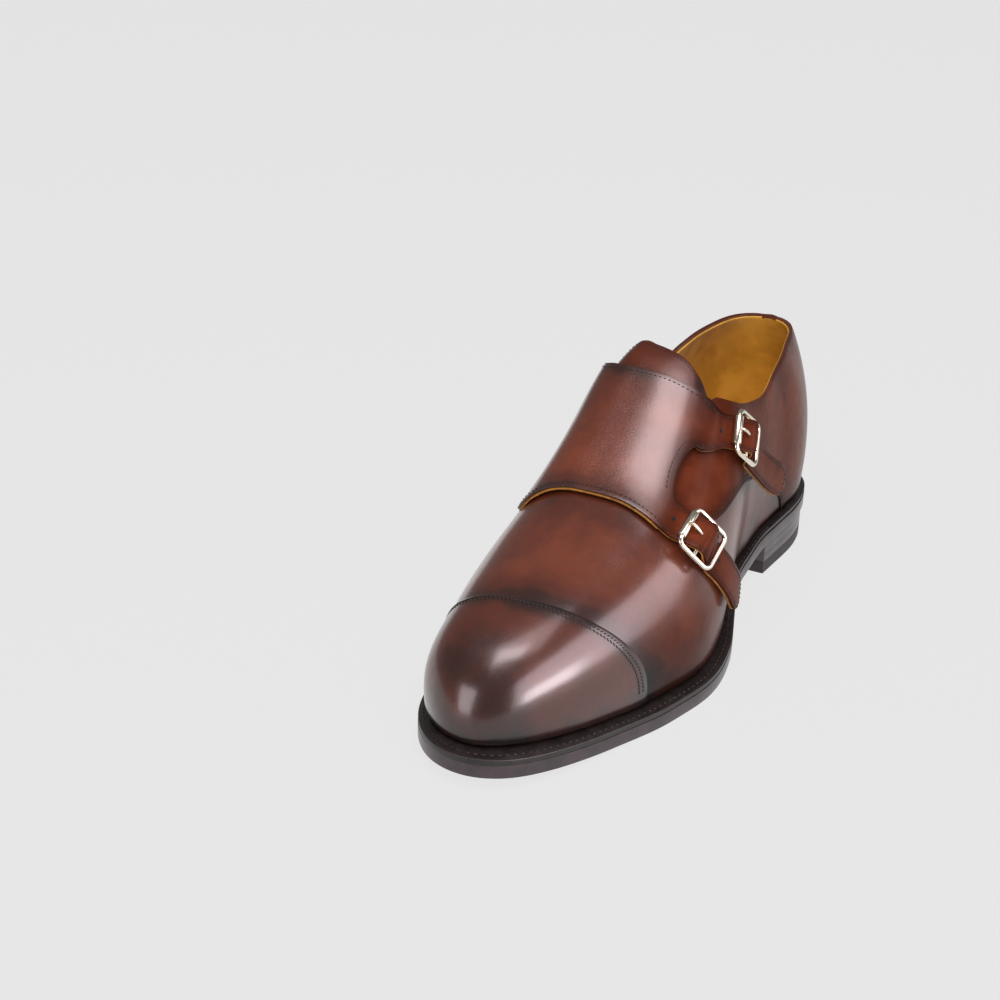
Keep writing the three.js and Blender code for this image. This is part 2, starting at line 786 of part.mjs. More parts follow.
const shoe = new THREE.Group();
shoe.name = "monk_strap_shoe";
const looks = new Map();
function add(name, body, look, slot, parent = shoe) {
  const m = body.getMesh();
  const v = new Float32Array(m.numVert * 3);
  for (let i = 0; i < m.numVert; i++) {
    const from = i * m.numProp;
    v.set(m.vertProperties.subarray(from, from + 3), i * 3);
  }
  const g = new THREE.BufferGeometry();
  g.setAttribute("position", new THREE.BufferAttribute(v, 3));
  g.setIndex(new THREE.BufferAttribute(new Uint32Array(m.triVerts), 1));
  g.computeVertexNormals();
  if (!looks.has(slot)) {
    looks.set(slot, new THREE.MeshStandardMaterial({ ...look, name: slot }));
  }
  const mesh = new THREE.Mesh(g, looks.get(slot));
  mesh.name = name;
  parent.add(mesh);
}
add("outsole", outsole, DARK, "sole_leather");
add("welt", weltBody(), DARK, "sole_leather");
add("heel_stack", heelStack, DARK, "sole_leather");
add("heel_top_piece", topPiece, RUBBER, "top_piece_rubber");
add("insole", insoleBody(), TAN, "lining_leather");
add("upper", upperBody(), LEATHER, "upper_leather");
add("toe_cap", capBody(), LEATHER, "upper_leather");
add("tongue", tongueBody(), LEATHER, "upper_leather");
add("strap_flap", flap, LEATHER, "upper_leather");
for (const [side, line, at] of [
  ["upper", upperLine, upperAt],
  ["lower", lowerLine, lowerAt],
]) {
  const buckle = new THREE.Group();
  seat(line, at).decompose(buckle.position, buckle.quaternion, buckle.scale);
  shoe.add(buckle);
  add(side + "_buckle_frame", buckleFrame, NICKEL, "buckle_nickel", buckle);
  add(side + "_buckle_roller", buckleRoller, NICKEL, "buckle_nickel", buckle);
  add(side + "_buckle_prong", prong, NICKEL, "buckle_nickel", buckle);
  add(side + "_buckle_keeper", keeper, DARK, "keeper_leather", buckle);
}
export default shoe;
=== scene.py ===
"""Left double monk strap shoe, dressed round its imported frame.

Metres, with +X to the toe, +Y to the outer side and +Z up. The sizes, tables and curves are in millimetres
and degrees, as a last maker writes them, and MM turns millimetres into metres.
"""

import math

import bmesh
import bpy
import numpy as np
from mathutils import Matrix, Vector


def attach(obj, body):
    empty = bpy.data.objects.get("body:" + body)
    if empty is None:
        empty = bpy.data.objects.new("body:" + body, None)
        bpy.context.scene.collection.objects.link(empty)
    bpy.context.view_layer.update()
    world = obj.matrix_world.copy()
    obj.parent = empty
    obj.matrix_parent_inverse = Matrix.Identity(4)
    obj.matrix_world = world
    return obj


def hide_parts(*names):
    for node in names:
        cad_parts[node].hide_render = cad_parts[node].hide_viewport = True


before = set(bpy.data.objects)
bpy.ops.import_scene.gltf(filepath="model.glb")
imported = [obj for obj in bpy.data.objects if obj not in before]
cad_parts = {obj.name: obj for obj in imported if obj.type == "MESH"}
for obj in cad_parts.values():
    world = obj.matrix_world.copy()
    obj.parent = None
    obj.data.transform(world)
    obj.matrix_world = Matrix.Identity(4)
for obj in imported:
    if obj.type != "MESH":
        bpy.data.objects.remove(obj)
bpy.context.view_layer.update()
MM = 0.001

# ------------ driving sizes
OUTSOLE_T = 5.4
WELT_T = 2.8
GAP = 0.3
TOP_PIECE_T = 6.0
HEEL_BREAST = 38.0
HEEL_INSET = 0.97
UPPER_WALL = 2.2
LINING_T = 0.8
INSOLE_T = 3.0
OVERLAY = 0.5
OVERLAY_T = 1.3
TONGUE_T = 2.4
STRAP_T = 2.0
STRAP_HALF = 7.2
BUCKLE_LONG = 18.0
BUCKLE_WIDE = 18.5
BUCKLE_CORNER = 3.0
BUCKLE_LIFT = 6.0
WIRE_R = 1.1
BAR_R = 0.8
ROLLER_R = 1.9
ROLLER_LONG = 12.6
KEEPER_WIDE = 11.0
KEEPER_T = 0.8
HOLE_R = 0.95
# The prong's holes along a strap, from the buckle's middle.
HOLES_AT = (-12.5, -2.7, 13.5)
CAP_AT = 210.0
CAP_BENDS_FROM = 152.0
CAP_T = 1.1
CAP_PROUD = 0.45
STRIP_PROUD = 0.45
STRIP_T = 0.7
STRIP_HALF_TURN = 0.085
FLAP_LINING_T = 0.75
LINING_DROP = 0.45
LINING_FOOT_DEG = 4.0
DROP_ENDS = 140.0
BACK_LEAN_REACH = 90.0
WELT_UNDER_UPPER = 4.5
WELT_SLOPE = 0.45
WELT_SEAM_SHARE = 0.30
SOCK_INSET = 4.8
UPPER_BUCKLE_DEG = 45.5
LOWER_BUCKLE_DEG = 48.0


def columns(names, rows):
    """A short table as one array for each named column."""
    return {name: np.array([row[i] for row in rows], float) for i, name in enumerate(names.split())}


# The last, section by section: feather line either side, ridge, squareness and side bulge.
LAST = columns("x outer inner ridge_y ridge_z square bulge_out bulge_in", [
    (-33, 0, 0, 0, 124, 1, 0, 0),
    (-24, 19.5, -19, -2.5, 122, 1, 3, 4.5),
    (0, 28, -27, -5, 120, 1, 4.5, 7),
    (28, 27, -26.5, -4, 131, 1, 5, 6),
    (54, 25.5, -23.5, -2, 138, 0.9, 9, 6),
    (76, 25.5, -22, -4, 135, 0.7, 11, 8),
    (100, 32.5, -27, -7.5, 127, 0.6, 9, 9.5),
    (127, 40.5, -37.5, -9.5, 103, 0.61, 5.5, 7),
    (154, 43.5, -47, -12, 81, 0.64, 4, 4.5),
    (180, 37.5, -48.5, -14, 70, 0.65, 4, 3.5),
    (212, 26, -43.5, -15, 60, 0.63, 4, 4),
    (242, 11, -36.5, -14.5, 46, 0.63, 3, 3.3),
    (251, 3.8, -28.6, -13, 37.5, 0.67, 2.2, 2.4),
    (258.5, -11, -11, -11, 14, 0.8, 0, 0),
])
OUTLINE = columns("x outer inner", [
    (-36, 0, 0),
    (-26, 22.5, -22),
    (0, 30.5, -29.5),
    (30, 29.5, -29),
    (54, 28, -25.5),
    (76, 29, -24.5),
    (100, 37.5, -31.5),
    (127, 46, -42.5),
    (152, 48.5, -52),
    (180, 43, -55),
    (212, 32, -50),
    (242, 19.3, -40.5),
    (257, 9.3, -29.8),
    (266, -9.5, -9.5),
])
UNDERSIDE = columns("x z", [(-36, 16), (38, 15), (60, 10.5), (90, 5), (120, 1.4), (145, 0), (180, 0),
                            (215, 1.5), (240, 3.5), (266, 6)])
# The inner side stands away at the throat, where the empty shoe has opened.
SPREAD = {"x": 106, "deg": 116, "deep": 4, "long_x": 25, "long_deg": 25}
BACK = columns("z dx", [(30, 0), (45, -1.8), (60, -1.2), (75, 1), (90, 4.5), (105, 8.5), (150, 20)])
TOPLINE = columns("x outer_z inner_z", [
    (-33, 103, 103),
    (0, 100, 102),
    (30, 96.5, 101),
    (55, 95, 101),
    (70, 97.5, 103),
    (86, 102, 107),
    (104, 110, 114),
])
THROAT = columns("x outer_deg inner_deg", [
    (104, 61, 66),
    (112, 66, 68),
    (125, 71, 72),
    (138, 78, 79),
    (146, 84, 84.5),
    (150, 90, 90),
])
CAP_SEAM = columns("deg x", [(0, 190), (20, 193.5), (35, 200), (50, 207), (70, 213.5), (90, 217), (112, 219),
                             (130, 217), (155, 210), (180, 204)])
# The outer quarter from the back seam forwards: its lower and front edge, and its station on the topline.
OUTER_QUARTER = columns("front_x front_deg rear_x", [
    (-33, 0, -33),
    (-20, 0, -20),
    (0, 0, 0),
    (17, 0, 17),
    (24, 5, 30),
    (38, 12, 45),
    (56, 18.7, 60),
    (77, 23.8, 76),
    (95, 29.5, 90),
    (112, 34.6, 101),
    (133, 42.3, 112),
    (143, 50, 126),
    (149, 60, 138),
    (152, 72, 147),
    (153, 84, 150),
])
# The inner quarter, which runs on over the instep as the flap, down to the roots of the straps.
# Its front edge, its rear edge, and how high its face stands off the last along each.
INNER_QUARTER = columns("front_x front_deg rear_x rear_deg front_lift rear_lift", [
    (-33, 180, -33, 114, 0.5, 0.5),
    (-20, 180, -20, 114, 0.5, 0.5),
    (0, 180, 0, 114, 0.5, 0.5),
    (17, 180, 17, 114, 0.5, 0.5),
    (24, 175, 30, 114, 0.5, 0.5),
    (38, 168, 45, 114, 0.5, 0.5),
    (56, 161.3, 60, 114, 0.5, 0.5),
    (77, 156.2, 76, 114, 0.5, 0.5),
    (95, 150.5, 88, 114, 0.5, 0.5),
    (112, 145.4, 97, 114, 0.5, 0.6),
    (133, 138, 102, 114, 0.6, 0.9),
    (150, 131, 104, 114, 0.8, 1.5),
    (159.5, 124.5, 106.5, 110.5, 1.5, 2.4),
    (160.6, 117, 109, 106, 2.5, 3.2),
    (160, 109, 110.6, 100, 3.2, 3.7),
    (158.8, 100, 111.4, 94, 3.6, 3.8),
    (157.8, 91, 111.5, 88, 3.7, 3.8),
    (157.6, 83, 111.5, 81, 3.7, 3.8),
    (158.2, 74, 111.2, 74, 3.7, 3.8),
    (159, 64, 109.5, 64, 3.7, 3.8),
])
# The straps' roots as shares of the flap's outer edge, and the cut-out between them in degrees.
FLAP_CELLS = 30
UPPER_ROOT = 10 / FLAP_CELLS
LOWER_ROOT = 22 / FLAP_CELLS
CUT_DEEP = 3.6
CUT_REACH = 22.0
# Each strap's centre line, then how high it arches through its buckle at s from the buckle's middle.
UPPER_STRAP = columns("x deg", [(117.5, 64), (110.5, 54), (103, 45.5), (92, 35.5), (75, 26), (54, 17.5)])
LOWER_STRAP = columns("x deg", [(152.5, 64), (151, 57), (149, 48), (144.5, 38), (134, 24), (121, 11)])
ARCH = columns("s upper lower", [
    (-16, 1.8, 1.8),
    (-9, 1.7, 1.7),
    (-4.5, 4.6, 4.6),
    (0, BUCKLE_LIFT + 2.3, BUCKLE_LIFT + 2.3),
    (4.5, 5.6, 5.6),
    (9, 1.65, 1.65),
    (15, 1.8, 1.2),
    (24, 3.2, 1.6),
    (38, 5.8, 2.6),
    (60, 8.5, 4),
])
# Half widths of the tail behind and before its centre line, as shares, at each distance back from its tip.
TAIL = columns("back rear front", [(0, -0.05, 0.4), (1.5, 0.2, 0.72), (4, 0.6, 0.93), (8, 0.93, 1),
                                   (14, 1, 1)])
TONGUE = columns("deg top_x front_x", [
    (60, 108.5, 152),
    (66, 105, 155),
    (76, 102, 157),
    (88, 99.5, 158),
    (98, 96.5, 158),
    (108, 95, 157),
    (116, 98, 155),
    (124, 106, 152),
])


# ------------ curves
def hermite(u, v, m, q):
    """Cubic through places u and values v with slopes m, read at q."""
    q = np.clip(q, u[0], u[-1])
    i = np.clip(np.searchsorted(u, q) - 1, 0, len(u) - 2)
    h = u[i + 1] - u[i]
    s = (q - u[i]) / h
    a = 2 * s**3 - 3 * s**2 + 1
    b = s**3 - 2 * s**2 + s
    return a * v[i] + b * h * m[i] + (1 - a) * v[i + 1] + (s**3 - s**2) * h * m[i + 1]


def smooth(u, v):
    """Smooth curve through a table's rows."""
    h = np.diff(u)
    d = np.diff(v) / h
    m = np.empty(len(u))
    m[1:-1] = (h[:-1] * d[1:] + h[1:] * d[:-1]) / (h[:-1] + h[1:])
    m[0] = 1.5 * d[0] - 0.5 * m[1]
    m[-1] = 1.5 * d[-1] - 0.5 * m[-2]
    return lambda q: hermite(u, v, m, q)


def steady(u, v):
    """Curve through a table's rows that never overshoots, so flats stay flat."""
    d = np.diff(v) / np.diff(u)
    m = np.zeros(len(u))
    p = d[:-1] * d[1:]
    both = np.where(np.abs(d[:-1] + d[1:]) > 1e-12, d[:-1] + d[1:], 1)
    m[1:-1] = np.where(p > 0, 2 * p / both, 0)
    m[0] = d[0]
    m[-1] = d[-1]
    return lambda q: hermite(u, v, m, q)


def ramp(q, start, end):
    """0 before start, 1 after end, with soft ends."""
    s = np.clip((q - start) / (end - start), 0, 1)
    return s * s * (3 - 2 * s)


X0 = LAST["x"][0]
X1 = LAST["x"][-1]
SOLE0 = OUTLINE["x"][0]
SOLE1 = OUTLINE["x"][-1]


def turn(x, start=X0, end=X1):
    """Station x as a half turn from back to toe, which crowds the stations at both ends."""
    return np.arccos(np.clip(1 - 2 * (x - start) / (end - start), -1, 1))


LAST_CURVE = {name: smooth(turn(LAST["x"]), LAST[name]) for name in LAST if name != "x"}
SOLE_CURVE = {name: smooth(turn(OUTLINE["x"], SOLE0, SOLE1), OUTLINE[name]) for name in ("outer", "inner")}
under = steady(UNDERSIDE["x"], UNDERSIDE["z"])
back_lean = steady(BACK["z"], BACK["dx"])
cap_seam = smooth(CAP_SEAM["deg"], CAP_SEAM["x"])
topline_z = [steady(TOPLINE["x"], TOPLINE[name]) for name in ("outer_z", "inner_z")]
throat_deg = [steady(THROAT["x"], THROAT[name]) for name in ("outer_deg", "inner_deg")]
FEATHER_UP = OUTSOLE_T + WELT_T + 2 * GAP


def feather(x):
    return under(x) + FEATHER_UP


# ------------ the last's surface
def surface(t, deg):
    """The last's point: t runs from the back seam (0) to the toe (pi), deg from the outer feather line over
    the ridge to the inner one."""
    x = X0 + (X1 - X0) * (1 - np.cos(t)) / 2
    c = np.cos(np.radians(deg))
    s = np.abs(np.sin(np.radians(deg)))
    k = np.abs(c)
    side = np.where(c >= 0, LAST_CURVE["outer"](t), LAST_CURVE["inner"](t))
    bulge = np.where(c >= 0, LAST_CURVE["bulge_out"](t), -LAST_CURVE["bulge_in"](t))
    ridge_y = LAST_CURVE["ridge_y"](t)
    opened = ((x - SPREAD["x"]) / SPREAD["long_x"]) ** 2 + ((deg - SPREAD["deg"]) / SPREAD["long_deg"]) ** 2
    y = ridge_y + (side - ridge_y) * k ** LAST_CURVE["square"](t) + bulge * 2 * s * k * k
    y = y - SPREAD["deep"] * np.exp(-opened)
    low = feather(x)
    z = low + (np.maximum(LAST_CURVE["ridge_z"](t), low) - low) * s
    fade = np.clip(1 - (x - X0) / BACK_LEAN_REACH, 0, 1) ** 2
    return np.stack([x + back_lean(z) * fade, y, z], -1)


def unit(v):
    """Each row of v at length 1."""
    return v / np.maximum(np.linalg.norm(v, axis=-1, keepdims=True), 1e-12)


def normal(t, deg):
    """Direction away from the foot: straight back at the back seam, straight forward at the toe."""
    step = 1e-3
    step_deg = 0.1
    edge_deg = 3 * step_deg
    back = t < 2 * step
    off = np.clip(deg, edge_deg, 180 - edge_deg)
    q = np.where(back & (off > 90), 180 - off, off)
    u = np.clip(t, 2 * step, np.pi - 2 * step)
    round_way = surface(u, q + step_deg) - surface(u, q - step_deg)
    n = np.cross(round_way, surface(u + step, q) - surface(u - step, q))
    n[..., 1] = np.where(back, 0, n[..., 1])
    return unit(np.where((t > np.pi - 1e-6)[..., None], np.array([1.0, 0, 0]), n))


def skin(x, deg, lift):
    """The point of the last at station x and angle deg, and lift off it."""
    t = turn(x)
    t, deg = np.broadcast_arrays(t, deg)
    return surface(t, deg) + normal(t, deg) * np.asarray(lift)[..., None]


def top_angle(x, inner):
    """How far round the section the upper reaches: the topline, then the throat, then closed."""
    z = topline_z[inner](x)
    low = feather(x)
    line = np.degrees(np.arcsin(np.clip((z - low) / (LAST_CURVE["ridge_z"](turn(x)) - low), 0, 1)))
    return np.where(x < THROAT["x"][0], line, np.where(x < THROAT["x"][-1], throat_deg[inner](x), 90.0))


def cap_station(s, deg):
    """Stations that bend to the toe cap's seam and straighten again at the toe."""
    w = np.where(s < CAP_AT, ramp(s, CAP_BENDS_FROM, CAP_AT), (X1 - s) / (X1 - CAP_AT))
    return np.minimum(s + (cap_seam(deg) - CAP_AT) * w, X1)


SQUARE = 0.6


def evenly(deg):
    """Angle as a share that is even across the flat of the instep."""
    c = np.cos(np.radians(deg))
    return np.sign(c) * np.abs(c) ** SQUARE


def angle_of(share):
    """The angle back from its even share."""
    return np.degrees(np.arccos(np.clip(np.sign(share) * np.abs(share) ** (1 / SQUARE), -1, 1)))


def tuck(x, deg, reach=3.4, deep=1.5):
    """The last few millimetres above the feather line turn in under the welt's shadow."""
    height = (LAST_CURVE["ridge_z"](turn(x)) - feather(x)) * np.abs(np.sin(np.radians(deg)))
    return -deep * np.clip(1 - height / reach, 0, 1) ** 2


# ------------ mesh helpers
# The middle of the foot, higher behind the instep than before it: it tells a sheet's outside from its inside.
FOOT_Y = -6.0
FOOT_Z = {"behind": 42.0, "before": 26.0}
INSTEP_X = 150.0


def foot_middle(x):
    high = np.where(x < INSTEP_X, FOOT_Z["behind"], FOOT_Z["before"])
    return np.stack([x, np.full(np.shape(x), FOOT_Y), high], -1)


def add_patch(bm, along, across, place):
    """A flat grid, u and v from 0 to 1, with each vertex taken to its place on the shoe."""
    made = bmesh.ops.create_grid(bm, x_segments=along, y_segments=across, size=0.5)["verts"]
    bmesh.ops.translate(bm, vec=(0.5, 0.5, 0), verts=made)
    flat = np.array([v.co[:2] for v in made])
    for vert, point in zip(made, place(flat[:, 0], flat[:, 1])):
        vert.co = Vector(point) * MM


def weld(bm, reach=0.02):
    """Joins vertices that meet, and drops the faces that this leaves without a size."""
    bmesh.ops.remove_doubles(bm, verts=bm.verts, dist=reach * MM)
    bmesh.ops.dissolve_degenerate(bm, edges=bm.edges, dist=reach * MM / 4)


def face_up(bm):
    bm.normal_update()
    if sum(f.normal.z for f in bm.faces) < 0:
        bmesh.ops.reverse_faces(bm, faces=bm.faces)


def face_out(bm):
    """Turns an open sheet of leather so that its faces point away from the foot."""
    centres = np.array([f.calc_center_median() for f in bm.faces]) / MM
    total = 0.0
    for f, away in zip(bm.faces, centres - foot_middle(centres[:, 0])):
        total += f.normal.dot(Vector(away)) * f.calc_area()
    if total < 0:
        bmesh.ops.reverse_faces(bm, faces=bm.faces)


def extruded(bm, ring):
    """Extrudes a ring of edges in place, and gives the new vertices and the new ring."""
    made = bmesh.ops.extrude_edge_only(bm, edges=ring)["geom"]
    return kind(made, bmesh.types.BMVert), kind(made, bmesh.types.BMEdge)


def kind(made, wanted):
    return [e for e in made if isinstance(e, wanted)]


def add_object(name, data):
    made = bpy.data.objects.new(name, data)
    bpy.context.scene.collection.objects.link(made)
    return made


def finish(bm, name, material, slot, open_sheet=False):
    """Makes the piece of its mesh, with its finishes, riding on the shoe."""
    bm.normal_update()
    if open_sheet:
        face_out(bm)
    mesh = bpy.data.meshes.new(name)
    bm.to_mesh(mesh)
    bm.free()
    mesh.polygons.foreach_set("use_smooth", np.ones(len(mesh.polygons), bool))
    piece = add_object(name, mesh)
    for m in material if isinstance(material, list) else [material]:
        mesh.materials.append(m)
    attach(piece, "root")
    return piece


def sheet(name, material, slot, *patches):
    """An open sheet of leather, welded from patches: each has its cells along and across, and its place."""
    bm = bmesh.new()
    for along, across, place in patches:
        add_patch(bm, along, across, place)
    weld(bm)
    if len(patches) > 1:
        bmesh.ops.recalc_face_normals(bm, faces=bm.faces)
    return finish(bm, name, material, slot, open_sheet=True)


def thicken(piece, thickness, inner_material=0, edge=0.35):
    """Leather of a real thickness, laid inwards from its face, with its edges rounded over."""
    wall = piece.modifiers.new("thickness", "SOLIDIFY")
    wall.thickness = thickness * MM
    wall.offset = -1
    wall.use_even_offset = False
    wall.material_offset = inner_material
    round_edges(piece, edge)
    return piece


def round_edges(piece, width):
    """Rounds over every edge that turns by more than 50 degrees."""
    rounding = piece.modifiers.new("edges", "BEVEL")
    rounding.width = width * MM
    rounding.segments = 3
    rounding.limit_method = "ANGLE"
    rounding.angle_limit = math.radians(50)
    rounding.miter_outer = "MITER_ARC"
    return piece


def points_of(piece):
    """The piece's points in mm."""
    co = np.empty(len(piece.data.vertices) * 3)
    piece.data.vertices.foreach_get("co", co)
    return co.reshape(-1, 3) / MM


def paint(piece, name, values):
    """Lays a value on each point of the piece, for its finish to read."""
    layer = piece.data.attributes.new(name, "FLOAT", "POINT")
    layer.data.foreach_set("value", values.astype(np.float32))
    return piece


def polish(piece, gloss):
    """How well the leather is polished, as a function of its x, y and z in mm."""
    return paint(piece, "polish", gloss(*points_of(piece).T))


def burnish_and_shade(piece, *marks):
    """How dark the finish is rubbed in, with painted shade where a mark follows the crease above the welt:
    each mark is a line in mm, its reach in mm and its strength.
    """
    co = points_of(piece)
    batch = 40
    dark = np.zeros(len(co))
    for line, reach, strength in marks:
        near = np.full(len(co), np.inf)
        for i in range(0, len(line), batch):
            gap = co[:, None, :] - line[None, i : i + batch, :]
            near = np.minimum(near, (gap**2).sum(-1).min(1))
        dark = 1 - (1 - dark) * (1 - strength * np.exp(-near / reach**2))
    return paint(piece, "burnish_and_shade", dark)


def read_along(run, values, s):
    """The rows of values, read at length s along their run."""
    return np.stack([np.interp(s, run, values[:, k]) for k in range(3)], -1)


def stitch_row(bm, points, normals, pitch=2.1, length=1.55, width=0.5, slant=0.0, sink=0.02):
    """A row of thread stitches along a line on the leather."""
    steps = np.linalg.norm(np.diff(points, axis=0), axis=1)
    run = np.concatenate([[0], np.cumsum(steps)])
    count = max(int(run[-1] / pitch), 1)
    near = 0.5
    for i in range(count):
        at = (i + 0.5) * run[-1] / count
        middle = read_along(run, points, at)
        up = unit(read_along(run, normals, at))
        along = unit(read_along(run, points, at + near) - read_along(run, points, at - near))
        across = unit(np.cross(up, along))
        along = unit(along * math.cos(slant) + across * math.sin(slant))
        across = unit(np.cross(up, along))
        basis = np.eye(4)
        basis[:3, 0] = along * length / 2 * MM
        basis[:3, 1] = across * width / 2 * MM
        basis[:3, 2] = up * width / 2 * MM
        basis[:3, 3] = (middle + up * sink) * MM
        bmesh.ops.create_uvsphere(bm, u_segments=6, v_segments=4, radius=1, matrix=Matrix(basis.tolist()))


def run_of(place, u, v, h=2e-3):
    """Points and outward directions along a line of a patch."""
    u, v = np.broadcast_arrays(np.asarray(u, float), np.asarray(v, float))
    p = place(u, v)
    du = place(np.clip(u + h, 0, 1), v) - place(np.clip(u - h, 0, 1), v)
    dv = place(u, np.clip(v + h, 0, 1)) - place(u, np.clip(v - h, 0, 1))
    n = unit(np.cross(du, dv))
    flip = ((p - foot_middle(p[:, 0])) * n).sum(-1) < 0
    n[flip] *= -1
    return p, n


def inset_share(place, u, edge, inset, h=0.02):
    """The share v that lies inset mm inside edge v = 0 or 1, at each u."""
    inward = h if edge == 0 else -h
    rim = place(u, np.full(len(u), float(edge)))
    width = np.linalg.norm(place(u, np.full(len(u), edge + inward)) - rim, axis=1)
    return edge + np.sign(inward) * inset / np.maximum(width / h, 1e-6)


# ------------ finishes
def nodes_of(name):
    material = bpy.data.materials.new(name)
    material.use_nodes = True
    tree = material.node_tree
    return material, tree.nodes, tree.links, tree.nodes["Principled BSDF"]


def settle(node, values):
    """Sets a node's sockets to plain values."""
    for name, value in values.items():
        node.inputs[name].default_value = value


def noise(nodes, links, coords, scale, detail=3.0, roughness=0.55):
    made = nodes.new("ShaderNodeTexNoise")
    settle(made, {"Scale": scale, "Detail": detail, "Roughness": roughness})
    links.new(coords, made.inputs["Vector"])
    return made.outputs["Fac"]


def math_node(nodes, links, operation, *values, clamp=False):
    made = nodes.new("ShaderNodeMath")
    made.operation = operation
    made.use_clamp = clamp
    for socket, value in zip(made.inputs, values):
        if isinstance(value, (int, float)):
            socket.default_value = value
        else:
            links.new(value, socket)
    return made.outputs[0]


def ramp_node(nodes, links, factor, stops):
    made = nodes.new("ShaderNodeValToRGB")
    made.color_ramp.interpolation = "EASE"
    while len(made.color_ramp.elements) < len(stops):
        made.color_ramp.elements.new(0.5)
    for element, (at, colour) in zip(made.color_ramp.elements, stops):
        element.position = at
        element.color = (*colour, 1)
    links.new(factor, made.inputs["Fac"])
    return made.outputs["Color"]


def leather_bump(nodes, links, coords, shader, grain, depth, ripple=0.0):
    """Pores and fine grain, and with ripple the slight unevenness of a lasted skin."""
    pores = nodes.new("ShaderNodeTexVoronoi")
    pores.inputs["Scale"].default_value = grain
    links.new(coords, pores.inputs["Vector"])
    fine = noise(nodes, links, coords, grain * 1.7, 2.0)
    height = math_node(nodes, links, "MULTIPLY_ADD", fine, 0.6, pores.outputs["Distance"])
    bump = nodes.new("ShaderNodeBump")
    settle(bump, {"Strength": 0.45, "Distance": depth * MM})
    links.new(height, bump.inputs["Height"])
    if ripple:
        swell = nodes.new("ShaderNodeBump")
        settle(swell, {"Strength": 0.5, "Distance": ripple * MM})
        links.new(noise(nodes, links, coords, 110, 2.0), swell.inputs["Height"])
        links.new(swell.outputs["Normal"], bump.inputs["Normal"])
    links.new(bump.outputs["Normal"], shader.inputs["Normal"])


def painted(nodes, name):
    """A value that is laid on the piece's points."""
    made = nodes.new("ShaderNodeAttribute")
    made.attribute_name = name
    return made.outputs["Fac"]


def burnished_calf():
    """Hand-rubbed chestnut calf: dark at seams and toe, with painted shade along the feather line above the
    welt, cloudy between, waxed over a fine grain.
    """
    material, nodes, links, shader = nodes_of("burnished_calf")
    coords = nodes.new("ShaderNodeTexCoord").outputs["Object"]
    # The rubbed-in dark of the finish, together with the painted shade along the feather line.
    rubbed_and_shaded = painted(nodes, "burnish_and_shade")
    waxed = painted(nodes, "polish")
    clouds = noise(nodes, links, coords, 34, 3.5)
    streaks = noise(nodes, links, coords, 120, 4.0, 0.7)
    soft = math_node(nodes, links, "MULTIPLY", clouds, 0.75)
    mottled = math_node(nodes, links, "MULTIPLY_ADD", streaks, 0.25, soft)
    level = math_node(nodes, links, "MULTIPLY_ADD", mottled, 0.9, -0.28)
    uneven = math_node(nodes, links, "MULTIPLY_ADD", clouds, 1.3, 0.35)
    total = math_node(nodes, links, "MULTIPLY_ADD", rubbed_and_shaded, uneven, level, clamp=True)
    colour = ramp_node(nodes, links, total, [
        (0.0, (0.190, 0.040, 0.016)),
        (0.35, (0.092, 0.0185, 0.0085)),
        (0.68, (0.034, 0.0090, 0.0055)),
        (1.0, (0.010, 0.0050, 0.0042)),
    ])
    links.new(colour, shader.inputs["Base Color"])
    links.new(math_node(nodes, links, "MULTIPLY_ADD", streaks, 0.12, 0.25), shader.inputs["Roughness"])
    links.new(math_node(nodes, links, "MULTIPLY", waxed, 0.35), shader.inputs["Specular IOR Level"])
    links.new(waxed, shader.inputs["Coat Weight"])
    settle(shader, {"Coat IOR": 1.55, "Coat Roughness": 0.19})
    leather_bump(nodes, links, coords, shader, 1300, 0.09, ripple=0.5)
    return material


def plain_finish(name, light, dark, roughness, spread, grain=1400, depth=0.05, coat=0.0, metal=0.0):
    """A simple procedural finish: two tones in soft clouds, uneven gloss and a fine grain."""
    material, nodes, links, shader = nodes_of(name)
    coords = nodes.new("ShaderNodeTexCoord").outputs["Object"]
    clouds = noise(nodes, links, coords, spread, 4.0)
    links.new(ramp_node(nodes, links, clouds, [(0.3, dark), (0.7, light)]), shader.inputs["Base Color"])
    patchy = noise(nodes, links, coords, spread * 4, 3.0)
    rough = math_node(nodes, links, "MULTIPLY_ADD", patchy, roughness * 0.3, roughness * 0.85)
    links.new(rough, shader.inputs["Roughness"])
    settle(shader, {"Metallic": metal, "Coat Weight": coat, "Coat Roughness": 0.2})
    leather_bump(nodes, links, coords, shader, grain, depth)
    return material


# Each plain finish: its light and dark tone, roughness, how fine its clouds and its grain are, and how deep
# the grain is in mm.
CALF = burnished_calf()
LINING = plain_finish("mustard_lining", (0.80, 0.42, 0.050), (0.56, 0.27, 0.024), 0.85, 60, 900, 0.06)
RAW_EDGE = plain_finish("raw_edge", (0.52, 0.22, 0.028), (0.27, 0.10, 0.012), 0.7, 300, 1500, 0.05)
THREAD = plain_finish("waxed_thread", (0.018, 0.010, 0.008), (0.009, 0.006, 0.005), 0.5, 900, 5000, 0.02)
SOLE_EDGE = plain_finish("inked_edge", (0.070, 0.044, 0.051), (0.036, 0.023, 0.027), 0.36, 90, 700, 0.03,
                         coat=0.25)
WELT_TOP = plain_finish("inked_welt", (0.026, 0.018, 0.017), (0.011, 0.008, 0.008), 0.42, 200, 600, 0.06,
                        coat=0.1)
SOLE_LEATHER = plain_finish("sole_leather", (0.21, 0.115, 0.055), (0.14, 0.07, 0.032), 0.55, 40, 800, 0.04)
TOP_PIECE = plain_finish("top_piece_rubber", (0.036, 0.026, 0.029), (0.022, 0.016, 0.018), 0.6, 120, 500,
                         0.04)
